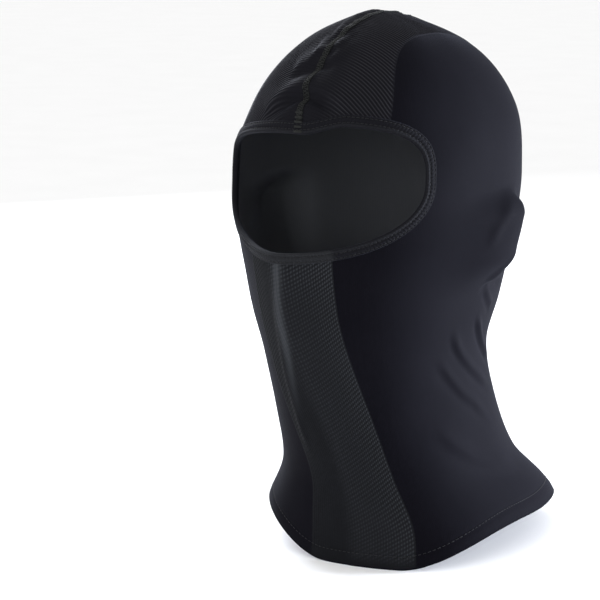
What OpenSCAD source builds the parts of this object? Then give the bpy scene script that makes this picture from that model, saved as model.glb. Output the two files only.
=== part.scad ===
// Stretch-knit balaclava in its worn shape: a hood with a wide face opening and a flared neck.
// Millimetres, +Z up. The wearer faces -Y, and the wearer's left is +X.
// Origin: the middle of the neck opening, on the plane that the hem stands on.
// Every piece follows one skin, whose spots are given as [angle round the head, height].

/* [Head] */
// Height from the hem to the top of the crown
total_h = 320; // [300:5:340]
// Breadth of the head above the ears
head_w = 156; // [142:2:168]
// Depth of the head from forehead to back
head_d = 197; // [180:1:212]
// How far each ear pushes the knit out
ear_out = 12.5; // [0:1:18]
// How far the knit's front line leans to the wearer's left at the hem, in degrees
lean_hem = 13; // [0:1:18]
// The same lean at the mouth, in degrees
lean_mouth = 7; // [0:1:12]

/* [Face opening] */
// Height of the opening's middle
opening_z = 231; // [225:1:236]
// Half of the opening's breadth, as an angle round the head
opening_deg = 51; // [46:1:58]
// Reach of the opening above its middle
opening_up = 33; // [28:1:38]
// Reach of the opening below its middle
opening_down = 38; // [30:1:42]
// How far the centre seam pulls the opening's top edge down
opening_dip = 5.5; // [0:0.5:8]

/* [Panels] */
// Thickness of the knit
knit_t = 1.5; // [1:0.1:2]
// Half angle of the front mesh panel at the hem
mesh_deg = 21; // [16:1:26]
// Distance from the centre seam to the edge of a rib panel at the crown
rib_w = 34; // [28:1:42]
// Half angle of a rib panel at the back of the hem
rib_deg = 22; // [14:1:26]
// How far the hem arches up over the shoulders
hem_arch = 22; // [6:1:26]

/* [Edges and seams] */
// Width of the folded binding round the face
binding_w = 6; // [4:0.5:7]
// Thickness of one leaf of folded fabric
leaf_t = 0.9; // [0.6:0.1:1.1]
// Diameter of the elastic inside the binding
elastic_d = 1.1; // [0.6:0.1:1.2]
// Height of the turned-up hem
hem_h = 10; // [7:0.5:14]
// Width of the flat centre seam
seam_w = 4.5; // [3:0.5:6]
// Thickness of a sewing thread as it lies
thread_t = 0.4; // [0.3:0.05:0.6]

/* [Hidden] */
// Air between threads and what they lie on, and between leaves of fabric that lie on each other
gap = 0.1;
loose = 0.3;
// Air under the knit inside the binding, where the crease of the nose needs more
crease_air = 0.7;
// Scale of the head shape against its drawn size
kx = head_w / 156;
ky = head_d / 197;
kz = total_h / 320;
// The drawn head: height, centre y, half breadth, depth to the front, depth to the back, and
// squareness of the front, which is 2 for an ellipse and lower where a nose or chin comes forward
SHAPE = [
    [0, 8, 98, 92, 97, 2.00],
    [25, 7, 84, 90, 92, 2.00],
    [52, -8, 66, 77, 80, 1.95],
    [90, -22, 58.5, 80, 74, 1.75],
    [124, -32, 58.5, 88, 76, 1.55],
    [150, -35, 64, 97, 94, 1.45],
    [175, -34, 69, 103, 99, 1.45],
    [200, -33, 75, 104, 98, 1.55],
    [228, -32, 78, 99, 98, 2.05]
];
PROFILE = [for (r = SHAPE) [r[0] * kz, r[1] * ky, r[2] * kx, r[3] * ky, r[4] * ky, r[5]]];
// The crown starts at the widest row and closes at the top
WIDEST = PROFILE[len(PROFILE) - 1];
crown_z = WIDEST[0];
crown_h = total_h - crown_z;
// Squareness of the crown's upright curve and of the back of every section
crown_n = 2.05;
back_n = 2.1;
// Rounding of the crease down the nose and chin, as the square of a sine
ridge_round = 0.004;
// The crown's centre moves back by this much as it rises
crown_back = 6;
// The lean changes up to the mouth, stays, and runs out between two heights over the brow
mouth_z = 190 * kz;
lean_low = 235 * kz;
lean_top = 275 * kz;
// Depth inside the binding at which its slot and the panels begin
slot_d = 0.8;
panel_d = slot_d + elastic_d + 2 * gap + 0.2;
// Gap between the two leaves of the binding, which the knit fills
slot_top = loose;
slot_low = -knit_t - crease_air;
// Half of the angle round the opening's lower edge that the mesh panel takes
mesh_turn = 16;
// Angles on the opening's curve where the centre seam starts, left of the middle because of the
// lean, and where the left rib panel ends and the left side panel begins
seam_turn = 88.75;
rib_turn = 52;
// Rows from the hem to the mouth, from the hem to the widest row, and from the hem to the brow
MOUTH_ROWS = 18;
BACK_ROWS = 24;
ALL_ROWS = 46;
SIDE_COLS = 22;
RIB_COLS = 7;
MESH_COLS = 8;
RIM_STEPS = 90;
HEM_STEPS = 72;
jersey = [0.11, 0.11, 0.14];
mesh_grey = [0.14, 0.15, 0.16];
thread_grey = [0.25, 0.25, 0.28];

// ---- numbers -------------------------------------------------------------------------------
function mix(a, b, t) = a + (b - a) * t;
// Goes smoothly from 0 at a to 1 at b
function ease(a, b, x) = let (t = min(max((x - a) / (b - a), 0), 1)) t * t * (3 - 2 * t);
function unit(v) = v / norm(v);
function wrap(a) = a > 180 ? a - 360 : a < -180 ? a + 360 : a;

// ---- the skin ------------------------------------------------------------------------------
// Row of the profile just under height z
function row_under(z, i = 0) =
    i >= len(PROFILE) - 2 || z <= PROFILE[i + 1][0] ? i : row_under(z, i + 1);
// Change of a profile row with height
function row_slope(i) =
    let (a = PROFILE[max(i - 1, 0)], b = PROFILE[min(i + 1, len(PROFILE) - 1)])
    i == len(PROFILE) - 1 ? 0 * b : (b - a) / (b[0] - a[0]);
// Smooth curve through the profile rows
function row_at(z) =
    let (i = row_under(z), a = PROFILE[i], b = PROFILE[i + 1], h = b[0] - a[0], t = (z - a[0]) / h)
    (2 * t ^ 3 - 3 * t ^ 2 + 1) * a + (t ^ 3 - 2 * t ^ 2 + t) * h * row_slope(i)
    + (3 * t ^ 2 - 2 * t ^ 3) * b + (t ^ 3 - t ^ 2) * h * row_slope(i + 1);
// How much of the widest breadth is left at height z in the crown, never quite nothing
function crown_left(z) =
    max(0.001, sqrt(max(0, 1 - (max(0, z - crown_z) / crown_h) ^ crown_n)));
function crown_row(z) =
    let (c = crown_left(z), t = ease(crown_z, crown_z + 40, z))
    [z, WIDEST[1] + crown_back * t, WIDEST[2] * c, WIDEST[3] * c, WIDEST[4] * c, WIDEST[5]];
function section(z) = z <= crown_z ? row_at(z) : crown_row(z);
// The chin turns slightly to the wearer's right under the mouth
function chin_turn(z) = 6 * ease(30 * kz, 80 * kz, z) * (1 - ease(90 * kz, 155 * kz, z));
// Distance from the section's centre to its edge at an angle
function reach(a, row) =
    let (
        depth = a <= 90 ? row[3] : row[4],
        n = a <= 90 ? mix(row[5], back_n, ease(0, 75, a)) : back_n,
        s = sqrt(sin(a) ^ 2 + ridge_round),
        c = abs(cos(a))
    )
    ((s / row[2]) ^ n + (c / depth) ^ n) ^ (-1 / n);
// The ear's bulge, long towards the cheek and short behind
function ear(a, z) =
    let (u = (a - 104) / (a < 104 ? 26 : 9))
    ear_out * exp(-u * u) * ease(160 * kz, 184 * kz, z) * (1 - ease(206 * kz, 224 * kz, z));
function head_point(psi, z) =
    let (
        row = section(z),
        r = reach(abs(wrap(psi + chin_turn(z))), row) + ear(abs(psi), z)
    )
    [r * sin(psi), row[1] - r * cos(psi), z];
// Lean of the knit against the head at height z
function lean(z) =
    mix(lean_hem, lean_mouth, ease(0, mouth_z, z)) - lean_mouth * ease(lean_low, lean_top, z);
function knit_point(q) = head_point(wrap(q[0] + lean(q[1])), q[1]);
// Height of the hem's edge: low in front and behind, arched over the shoulders
function hem_z(th) = hem_arch * ease(0.25, 1, abs(sin(th)));
// Direction out of the knit, level at the hem and straight up at the very top
function out_of(q) =
    let (
        across = knit_point([q[0] + 0.5, q[1]]) - knit_point([q[0] - 0.5, q[1]]),
        top = min(q[1] + 0.3, total_h - 0.01),
        along = knit_point([q[0], top]) - knit_point([q[0], q[1] - 0.3]),
        n = unit(cross(across, along))
    )
    q[1] > total_h - 0.6 ? [0, 0, 1]
    : unit([n[0], n[1], n[2] * ease(0, 30, q[1] - hem_z(q[0]))]);
// Point at height h over the knit's outer face
function over(q, h) = knit_point(q) + h * out_of(q);

// ---- lines on the skin ---------------------------------------------------------------------
// Spot on the face opening's curve, pushed out from the rim by d. The centre seam pulls the middle
// of the brow down, and with it the whole brow on the wearer's right.
function rim(t, d) =
    let (
        c = cos(t),
        s = sin(t),
        side_r = WIDEST[2] * 1.12,
        x = abs(c) ^ 0.85,
        psi = (opening_deg + d / side_r * 180 / PI) * sign(c) * x,
        pull = opening_dip * (1 - ease(3, 20, psi)),
        left_up = (opening_up + d) * max(0, 1 - x ^ 3) ^ (1 / 3) - pull,
        right_up = (opening_up + d - opening_dip) * sqrt(max(0, 1 - x * x)),
        down = -(opening_down + d) * sqrt(max(0, 1 - x * x)),
        z = opening_z * kz + (s < 0 ? down : c > 0 ? left_up : right_up)
    )
    [psi - lean(z), z];
// Lowest line of the panels, just over the turned hem
function foot(th) = hem_z(th) + leaf_t + loose;
// The front mesh panel: u runs from -1 to 1 across it and f from 0 to 1 up it
function mesh_spot(u, f) =
    let (top = rim(270 + u * mesh_turn, panel_d), low = u * mesh_deg)
    [mix(low, top[0], ease(0, 1, f)), mix(foot(low), top[1], f)];
// Depth of the crown at a distance x from the middle plane and height z
function crown_depth(x, z, depth) =
    depth * max(0, crown_left(z) ^ back_n - (x / WIDEST[2]) ^ back_n) ^ (1 / back_n);
function crown_top(x) = crown_z + crown_h * (1 - (x / WIDEST[2]) ^ 2) ^ (1 / crown_n);
// Line v of a rib panel, 0 at the seam, 1 at the left panel's edge and -1 at the right panel's,
// over the crown from a = 0 at the brow through a = 90 at the top to a = 180 at the back. At the
// brow the seam follows the knit's lean and the panel's outer edge doesn't.
function crown_spot(v, a) =
    let (
        start = rim(mix(seam_turn, v < 0 ? 180 - rib_turn : rib_turn, abs(v)), panel_d),
        own = a < 90 ? abs(v) : 0,
        start_x = head_point(start[0] + own * lean(start[1]), start[1])[0],
        edge_x = v * rib_w * kx,
        x = mix(start_x, edge_x, a < 90 ? ease(0, 70, a) : 1),
        z = mix(a < 90 ? start[1] : crown_z, crown_top(edge_x), sin(a)),
        front = atan2(x, crown_depth(abs(x), z, WIDEST[3])) - own * lean(z),
        back = 180 - atan2(abs(x), crown_depth(abs(x), z, WIDEST[4]))
    )
    a == 0 ? start : v == 0 ? [a <= 90 ? 0 : 180, z] : [a <= 90 ? front : sign(v) * back, z];
// The same line down the back, from f = 0 at the hem to f = 1 at the widest row
function back_spot(v, f) =
    let (
        half = mix(abs(v) * rib_deg, 180 - abs(crown_spot(v, 180)[0]), ease(0.3, 1, f)),
        th = v < 0 ? half - 180 : 180 - half
    )
    [th, mix(foot(th), crown_z, f)];
// Row k of a rib panel, counted from the hem up the back and over to the brow
function rib_spot(v, k) =
    k <= BACK_ROWS ? back_spot(v, k / BACK_ROWS)
    : crown_spot(v, 180 * (ALL_ROWS - k) / (ALL_ROWS - BACK_ROWS));
// Front edge of a side panel, side = 1 for the left one and -1 for the right one: up the mesh
// panel, then round the end of the opening
function side_front(side, k) =
    let (f = (k - MOUTH_ROWS) / (ALL_ROWS - MOUTH_ROWS))
    k <= MOUTH_ROWS ? mesh_spot(side, k / MOUTH_ROWS)
    : rim(270 + side * mix(mesh_turn, 90 + rib_turn, f), panel_d);
// Spot on a side panel, u = 0 at its front edge and 1 at the rib panel
function side_spot(side, u, k) =
    let (
        a = side_front(side, k),
        b = rib_spot(side, k),
        th = mix(a[0], b[0], u),
        arch = hem_z(th) - mix(hem_z(a[0]), hem_z(b[0]), u)
    )
    [th, mix(a[1], b[1], u) + arch * (1 - min(1, k / MOUTH_ROWS)) ^ 1.5];

// ---- solids --------------------------------------------------------------------------------
// Closed sheet between two grids of points. With a tip, the last row is a single point.
module sheet(outer, inner, tip = false) {
    rows = len(outer);
    cols = len(outer[0]);
    half = rows * cols;
    function ix(k, j) = tip && k == rows - 1 ? k * cols : k * cols + j;
    function quad(a, b, c, d) = [[a, b, c], [a, c, d]];
    skin = [for (k = [0:rows - 2]) for (j = [0:cols - 2])
        each quad(ix(k, j), ix(k + 1, j), ix(k + 1, j + 1), ix(k, j + 1))];
    lining = [for (f = skin) [f[2] + half, f[1] + half, f[0] + half]];
    ends = [for (k = [0:rows - 2]) for (j = [0, cols - 1])
        let (a = ix(k, j), b = ix(k + 1, j))
        each j == 0 ? quad(a, a + half, b + half, b) : quad(b, b + half, a + half, a)];
    edges = [for (j = [0:cols - 2]) for (k = [0, rows - 1])
        let (a = ix(k, j), b = ix(k, j + 1))
        each k == 0 ? quad(b, b + half, a + half, a) : quad(a, a + half, b + half, b)];
    faces = [for (f = concat(skin, lining, ends, edges))
        if (f[0] != f[1] && f[1] != f[2] && f[2] != f[0]) f];
    polyhedron([each for (r = outer) r, each for (r = inner) r], faces);
}
// Panel of knit over a grid of spots
module panel(grid, tip = false) {
    sheet([for (r = grid) [for (q = r) over(q, 0)]],
        [for (r = grid) [for (q = r) over(q, -knit_t)]], tip);
}
// Solid through rings of points, joined end to end or capped
module sweep(rings, closed = true) {
    n = len(rings);
    m = len(rings[0]);
    last = closed ? n - 1 : n - 2;
    walls = [for (i = [0:last]) for (j = [0:m - 1])
        let (a = i * m + j, b = i * m + (j + 1) % m, c = ((i + 1) % n) * m + (j + 1) % m,
            d = ((i + 1) % n) * m + j)
        each [[a, b, c], [a, c, d]]];
    caps = closed ? [] : [[for (j = [m - 1:-1:0]) j], [for (j = [0:m - 1]) (n - 1) * m + j]];
    polyhedron([for (r = rings) each r], concat(walls, caps));
}
// Ring round the opening, its outline given as pairs of distance from the rim and height
module rim_ring(outline) {
    sweep([for (i = [0:RIM_STEPS - 1])
        [for (p = outline) over(rim(270 + 360 * i / RIM_STEPS, p[0]), p[1])]]);
}
// Ring round the hem, its outline given as pairs of height above the edge and height over the knit
module hem_ring(outline) {
    sweep([for (i = [0:HEM_STEPS - 1])
        let (th = 360 * i / HEM_STEPS - 180)
        [for (p = outline) over([th, hem_z(th) + p[0]], p[1])]]);
}
// Straight thread from spot a to spot b, w wide, its underside at height h
module thread(a, b, w, h) {
    pa = over(a, h);
    pb = over(b, h);
    up = out_of((a + b) / 2) * thread_t;
    side = unit(cross(pb - pa, up)) * w / 2;
    sweep([for (p = [pa, pb]) [p - side, p + side, p + side + up, p - side + up]], closed = false);
}
// Spots down the middle of the seam, from the binding over the crown to the hem
SEAM = [
    [0, rim(seam_turn, binding_w + loose)[1]],
    for (k = [ALL_ROWS - 1:-1:1]) rib_spot(0, k),
    [180, foot(180)]
];
// Direction along the seam at point i
function seam_run(i) =
    unit(knit_point(SEAM[min(i + 1, len(SEAM) - 1)]) - knit_point(SEAM[max(i - 1, 0)]));
// Point beside the seam line: at point i, s across and h over the knit
function beside_seam(i, s, h) =
    let (up = out_of(SEAM[i]))
    knit_point(SEAM[i]) + s * unit(cross(seam_run(i), up)) + h * up;

// ---- sub-parts -----------------------------------------------------------------------------
module left_side_panel() {
    color(jersey)
        panel([for (k = [0:ALL_ROWS]) [for (j = [0:SIDE_COLS]) side_spot(1, j / SIDE_COLS, k)]],
            tip = true);
}
module right_side_panel() {
    color(jersey)
        panel([for (k = [0:ALL_ROWS]) [for (j = [SIDE_COLS:-1:0]) side_spot(-1, j / SIDE_COLS, k)]],
            tip = true);
}
module left_rib_panel() {
    color(jersey)
        panel([for (k = [0:ALL_ROWS]) [for (j = [RIB_COLS:-1:0]) rib_spot(j / RIB_COLS, k)]]);
}
module right_rib_panel() {
    color(jersey)
        panel([for (k = [0:ALL_ROWS]) [for (j = [0:RIB_COLS]) rib_spot(-j / RIB_COLS, k)]]);
}
module front_mesh_panel() {
    color(mesh_grey)
        panel([for (k = [0:MOUTH_ROWS])
            [for (j = [0:MESH_COLS]) mesh_spot(2 * j / MESH_COLS - 1, k / MOUTH_ROWS)]]);
}
module face_binding() {
    top = slot_top + leaf_t;
    low = slot_low - leaf_t;
    color(jersey)
        rim_ring([
            [0, low + 0.6], [0.6, low], [binding_w, low], [binding_w, slot_low], [slot_d, slot_low],
            [slot_d, slot_top], [binding_w, slot_top], [binding_w, top], [0.6, top], [0, top - 0.6]
        ]);
}
module face_elastic() {
    r = elastic_d / 2;
    color(thread_grey)
        rim_ring([for (a = [0:60:300])
            [slot_d + gap + r + r * cos(a), -knit_t / 2 + r * sin(a)]]);
}
// Two rows of stitches on the binding's outer leaf
module binding_stitches() {
    count = 60;
    half_turn = 1.9;
    color(thread_grey)
        for (row = [1.4, binding_w - 1]) {
            for (i = [0:count - 1]) {
                t = 90 + 360 * (i + 0.5) / count;
                thread(rim(t - half_turn, row), rim(t + half_turn, row), 0.5, slot_top + leaf_t + 2 * gap);
            }
        }
}
// Flat seam that joins the two halves over the crown and down the back
module centre_seam() {
    color(thread_grey)
        sweep([for (i = [0:len(SEAM) - 1]) [
            beside_seam(i, -seam_w / 2, gap), beside_seam(i, seam_w / 2, gap),
            beside_seam(i, seam_w / 2, gap + thread_t), beside_seam(i, -seam_w / 2, gap + thread_t)
        ]], closed = false);
}
// Threads that cross the flat seam
module seam_stitches() {
    color(thread_grey)
        for (i = [1:len(SEAM) - 2]) {
            up = out_of(SEAM[i]) * 0.3;
            run = seam_run(i) * 0.4;
            a = beside_seam(i, -seam_w / 2 + 0.3, thread_t + 2 * gap);
            b = beside_seam(i, seam_w / 2 - 0.3, thread_t + 2 * gap);
            sweep([for (p = [b, a]) [p - run, p + run, p + run + up, p - run + up]], closed = false);
        }
}
// Dense stitching where the centre seam meets the binding
module front_bartack() {
    brow_r = knit_point(rim(90, 0))[1] - WIDEST[1];
    half = seam_w / 2 / abs(brow_r) * 180 / PI;
    low = slot_top + leaf_t + thread_t + 4 * gap;
    color(thread_grey)
        for (i = [0:3]) {
            z = rim(seam_turn, 0.9 + i)[1];
            thread([-half, z], [half, z], 0.7, low);
        }
}
// The same at the foot of the seam, on the inside of the turned hem
module back_bartack() {
    half = seam_w / 2 / PROFILE[0][4] * 180 / PI;
    color(thread_grey)
        for (i = [0:3]) {
            z = hem_h + 2 + i * 1.2;
            thread([180 + half, z], [180 - half, z], 0.8, -knit_t - thread_t - loose);
        }
}
// Turned-up hem: the fold under the panels and the leaf inside them
module hem_band() {
    inner = -knit_t - loose;
    color(jersey)
        hem_ring([
            [0, 0], [leaf_t, 0], [leaf_t, inner], [hem_h, inner],
            [hem_h, inner - leaf_t], [0, inner - leaf_t]
        ]);
}
// Stitches that hold the turned hem, all round but for the seam
module hem_stitches() {
    count = 72;
    reach_deg = 1.6;
    color(thread_grey)
        for (i = [1:count - 2]) {
            mid = 360 * (i + 0.5) / count - 180;
            ends = [for (th = [mid - reach_deg, mid + reach_deg]) [th, hem_z(th) + hem_h - 2]];
            thread(ends[0], ends[1], 0.6, gap);
        }
}
// Blank loop label inside the back of the neck
module care_label() {
    low = hem_h + 8;
    label_h = 24;
    label_t = 0.7;
    label_deg = 9;
    inset = knit_t + 3 * loose;
    grid = [for (k = [0:4]) [for (j = [0:4]) [180 + label_deg * (j / 2 - 1), low + label_h * k / 4]]];
    color([0.3, 0.3, 0.32])
        sheet([for (r = grid) [for (q = r) over(q, -inset)]],
            [for (r = grid) [for (q = r) over(q, -inset - label_t)]]);
}

left_side_panel();
right_side_panel();
left_rib_panel();
right_rib_panel();
front_mesh_panel();
face_binding();
face_elastic();
binding_stitches();
centre_seam();
seam_stitches();
front_bartack();
back_bartack();
hem_band();
hem_stitches();
care_label();
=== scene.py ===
# %% [markdown]
# # A stretch-knit balaclava
# A balaclava is a knitted hood: one stretchy skin that takes the shape of the head inside it. This
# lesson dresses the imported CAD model, which holds the sizes and the names of the pieces. Nothing on
# the hood turns or slides, so there are no joints.
# Every piece below is built around that frame, in metres, so nothing is fitted or moved afterwards.
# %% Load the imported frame
import math
import bmesh
import bpy
import numpy as np
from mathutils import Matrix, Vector


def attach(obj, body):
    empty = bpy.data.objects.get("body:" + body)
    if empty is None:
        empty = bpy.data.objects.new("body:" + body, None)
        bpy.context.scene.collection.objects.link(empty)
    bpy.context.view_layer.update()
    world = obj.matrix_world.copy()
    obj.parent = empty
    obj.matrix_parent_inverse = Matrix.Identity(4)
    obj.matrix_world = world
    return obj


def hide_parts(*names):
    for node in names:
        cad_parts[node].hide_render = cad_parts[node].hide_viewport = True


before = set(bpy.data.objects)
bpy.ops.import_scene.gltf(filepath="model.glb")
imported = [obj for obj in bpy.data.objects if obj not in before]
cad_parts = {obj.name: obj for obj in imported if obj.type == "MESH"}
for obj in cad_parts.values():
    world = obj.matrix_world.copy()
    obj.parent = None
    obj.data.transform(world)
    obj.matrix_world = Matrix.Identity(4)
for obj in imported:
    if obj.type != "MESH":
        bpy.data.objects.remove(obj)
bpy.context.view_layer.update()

MM = 0.001
print("nodes", sorted(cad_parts))

# %% [markdown]
# ## The skin
# Every piece of the real hood lies on one surface: the knit pulled over the head. It could be
# sculpted, or shrunk on to a dummy head by simulation. Here it is a formula, the same one as the CAD
# uses, because each panel, seam and thread can then ask it for the same spot and they always meet.
# A spot is an angle round the head, in the knit, and a height. The knit leans against the head, so
# the angle on the head itself, called the turn here, is the knit's angle plus the lean.
# %% Numbers of the head, in millimetres and degrees
# Height, centre in y, half breadth, depth to the front, depth to the back, squareness of the front
HEAD_ROWS = np.array([
    [0, 8, 98, 92, 97, 2.00],
    [25, 7, 84, 90, 92, 2.00],
    [52, -8, 66, 77, 80, 1.95],
    [90, -22, 58.5, 80, 74, 1.75],
    [124, -32, 58.5, 88, 76, 1.55],
    [150, -35, 64, 97, 94, 1.45],
    [175, -34, 69, 103, 99, 1.45],
    [200, -33, 75, 104, 98, 1.55],
    [228, -32, 78, 99, 98, 2.05],
])
WIDEST = HEAD_ROWS[-1]
CROWN_Z, TOP_Z = 228.0, 320.0
CROWN_SQUARE, BACK_SQUARE = 2.05, 2.1
CROWN_BACK = 6.0
CREASE_ROUND = 0.004
EAR_OUT, EAR_TURN, EAR_BEFORE, EAR_BEHIND = 12.5, 104, 26, 9
CHIN_TURN = 6
DOME_RADII = np.array([78.0, 98.5, 92.0])
LEAN_HEM, LEAN_MOUTH = 13.0, 7.0
LEAN_MOUTH_Z, LEAN_LOW, LEAN_TOP = 190.0, 235.0, 275.0
HEM_ARCH = 22.0
KNIT_T = 1.2


def mix(a, b, t):
    return a + (b - a) * t


def ease(a, b, x):
    """Goes smoothly from 0 at a to 1 at b."""
    t = np.clip((x - a) / (b - a), 0, 1)
    return t * t * (3 - 2 * t)


def row_slopes():
    n = len(HEAD_ROWS)
    before = HEAD_ROWS[np.maximum(np.arange(n) - 1, 0)]
    after = HEAD_ROWS[np.minimum(np.arange(n) + 1, n - 1)]
    slopes = (after - before) / (after - before)[:, :1]
    slopes[-1] = 0
    return slopes[:, 1:]


ROW_SLOPES = row_slopes()
print("rows of the head:", len(HEAD_ROWS))


# %% Sections of the head
def crown_left(z):
    """Share of the widest breadth that is left at height z."""
    up = np.maximum(0, z - CROWN_Z) / (TOP_Z - CROWN_Z)
    return np.maximum(0.001, np.sqrt(np.maximum(0, 1 - up**CROWN_SQUARE)))


def head_rows(z):
    """Centre, half breadth, depth in front, depth behind and squareness at heights z."""
    low = np.minimum(z, CROWN_Z)
    i = np.clip(np.searchsorted(HEAD_ROWS[:, 0], low) - 1, 0, len(HEAD_ROWS) - 2)
    a, b = HEAD_ROWS[i, 1:], HEAD_ROWS[i + 1, 1:]
    step = (HEAD_ROWS[i + 1, 0] - HEAD_ROWS[i, 0])[..., None]
    t = (low - HEAD_ROWS[i, 0])[..., None] / step
    row = (
        (2 * t**3 - 3 * t**2 + 1) * a
        + (t**3 - 2 * t**2 + t) * step * ROW_SLOPES[i]
        + (3 * t**2 - 2 * t**3) * b
        + (t**3 - t**2) * step * ROW_SLOPES[i + 1]
    )
    left = crown_left(z)
    centre = row[..., 0] + CROWN_BACK * ease(CROWN_Z, CROWN_Z + 40, z)
    return centre, row[..., 1] * left, row[..., 2] * left, row[..., 3] * left, row[..., 4]


def wrap(turn):
    return (turn + 180) % 360 - 180


def ear_bulge(a, z):
    u = (a - EAR_TURN) / np.where(a < EAR_TURN, EAR_BEFORE, EAR_BEHIND)
    return EAR_OUT * np.exp(-u * u) * ease(160, 184, z) * (1 - ease(206, 224, z))


def head_point(turn, z):
    """Point of the head under the knit, at an angle on the head and a height."""
    turn, z = np.broadcast_arrays(np.asarray(turn, float), np.asarray(z, float))
    turn = wrap(turn)
    centre, half, front, back, square = head_rows(z)
    chin = CHIN_TURN * ease(30, 80, z) * (1 - ease(90, 155, z))
    a = np.abs(wrap(turn + chin))
    depth = np.where(a <= 90, front, back)
    n = np.where(a <= 90, mix(square, BACK_SQUARE, ease(0, 75, a)), BACK_SQUARE)
    s = np.sqrt(np.sin(np.radians(a)) ** 2 + CREASE_ROUND)
    c = np.abs(np.cos(np.radians(a)))
    reach = ((s / half) ** n + (c / depth) ** n) ** (-1 / n) + ear_bulge(np.abs(turn), z)
    r = np.radians(turn)
    return np.stack([reach * np.sin(r), centre - reach * np.cos(r), z], axis=-1)


# %% Spots in the knit
def lean(z):
    low = mix(LEAN_HEM, LEAN_MOUTH, ease(0, LEAN_MOUTH_Z, z))
    return low - LEAN_MOUTH * ease(LEAN_LOW, LEAN_TOP, z)


def knit_point(th, z):
    return head_point(th + lean(z), z)


def hem_z(th):
    """Height of the hem's edge: low in front and behind, arched over the shoulders."""
    return HEM_ARCH * ease(0.25, 1, np.abs(np.sin(np.radians(th))))


def unit(v):
    return v / np.maximum(np.linalg.norm(v, axis=-1, keepdims=True), 1e-9)


def out_of(th, z):
    """Direction out of the knit, level at the hem."""
    th, z = np.broadcast_arrays(np.asarray(th, float), np.asarray(z, float))
    across = knit_point(th + 0.5, z) - knit_point(th - 0.5, z)
    top = np.minimum(z + 0.3, TOP_Z - 0.01)
    along = knit_point(th, top) - knit_point(th, z - 0.3)
    n = unit(np.cross(across, along))
    # Close to the very top the two directions lose their meaning, so a dome's normal takes over
    p = knit_point(th, z)
    dome = (p - np.array([0, WIDEST[1] + CROWN_BACK, CROWN_Z])) / DOME_RADII**2
    n = mix(n, unit(dome), ease(TOP_Z - 7, TOP_Z - 2, z)[..., None])
    flat = ease(0, 30, z - hem_z(th))
    return unit(n * np.stack([np.ones_like(flat), np.ones_like(flat), flat], axis=-1))


skin_points = knit_point(np.arange(-180, 180, 2.0)[:, None], np.arange(24, 320, 4.0))
skin_size = np.ptp(skin_points.reshape(-1, 3), axis=0)
print("skin's breadth, depth and height in mm", skin_size.round(1).tolist())

# %% [markdown]
# ## Folds and puckers
# A tight knit isn't smooth: it folds under the jaw, bunches along the seam that closes the crown,
# and shows the ear's rim. These could be a sculpt or a texture. They are lines on the head here,
# each with a height and two widths, added up into one relief in millimetres. Geometry is worth it,
# because the folds then catch the light from every side.
# %% Smooth lines on the head
FOLD_RADIUS = 74.0


def smooth_line(points, steps=14):
    """Points along a smooth curve through a few chosen points."""
    p = np.array(points, float)
    p = np.vstack([2 * p[0] - p[1], p, 2 * p[-1] - p[-2]])
    t = np.linspace(0, 1, steps, endpoint=False)[:, None]
    out = []
    for a, b, c, d in zip(p, p[1:], p[2:], p[3:]):
        out.append(0.5 * (2 * b + (c - a) * t + (2 * a - 5 * b + 4 * c - d) * t**2
                          + (3 * b - a - 3 * c + d) * t**3))
    return np.vstack([*out, p[-2:-1]])


def from_line(x, y, line):
    """Signed distance of places (x, y) from a line, and how far along it each one is, 0 to 1."""
    best = np.full(x.shape, 1e9)
    side = np.zeros(x.shape)
    place = np.zeros(x.shape)
    for i, (a, b) in enumerate(zip(line, line[1:])):
        dx, dy = b - a
        span = dx * dx + dy * dy + 1e-12
        t = np.clip(((x - a[0]) * dx + (y - a[1]) * dy) / span, 0, 1)
        ex, ey = x - a[0] - t * dx, y - a[1] - t * dy
        d = np.hypot(ex, ey)
        near = d < best
        best = np.where(near, d, best)
        side = np.where(near, np.sign(dx * ey - dy * ex), side)
        place = np.where(near, (i + t) / (len(line) - 1), place)
    return best * side, place


def fold_over(x, y, points, height, left_w, right_w, hollow=0.0, fade=0.25):
    """A ridge along a line, with its own width on each side and a hollow beside its right flank."""
    line = smooth_line(points)
    reach = 4 * max(left_w, right_w) + 6
    low, high = line.min(axis=0) - reach, line.max(axis=0) + reach
    near = (x > low[0]) & (x < high[0]) & (y > low[1]) & (y < high[1])
    out = np.zeros(x.shape)
    if not near.any():
        return out
    d, place = from_line(x[near], y[near], line)
    w = np.where(d > 0, left_w, right_w)
    ridge = height * np.exp(-((d / w) ** 2))
    dip = hollow * np.exp(-(((d + 1.9 * right_w) / (1.1 * right_w)) ** 2))
    ends = ease(0, fade, place) * (1 - ease(1 - fade, 1, place))
    out[near] = (ridge - dip) * ends
    return out


print("a smooth line through 4 points has", len(smooth_line([(0, 0), (1, 1), (2, 0), (3, 1)])), "points")

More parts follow.
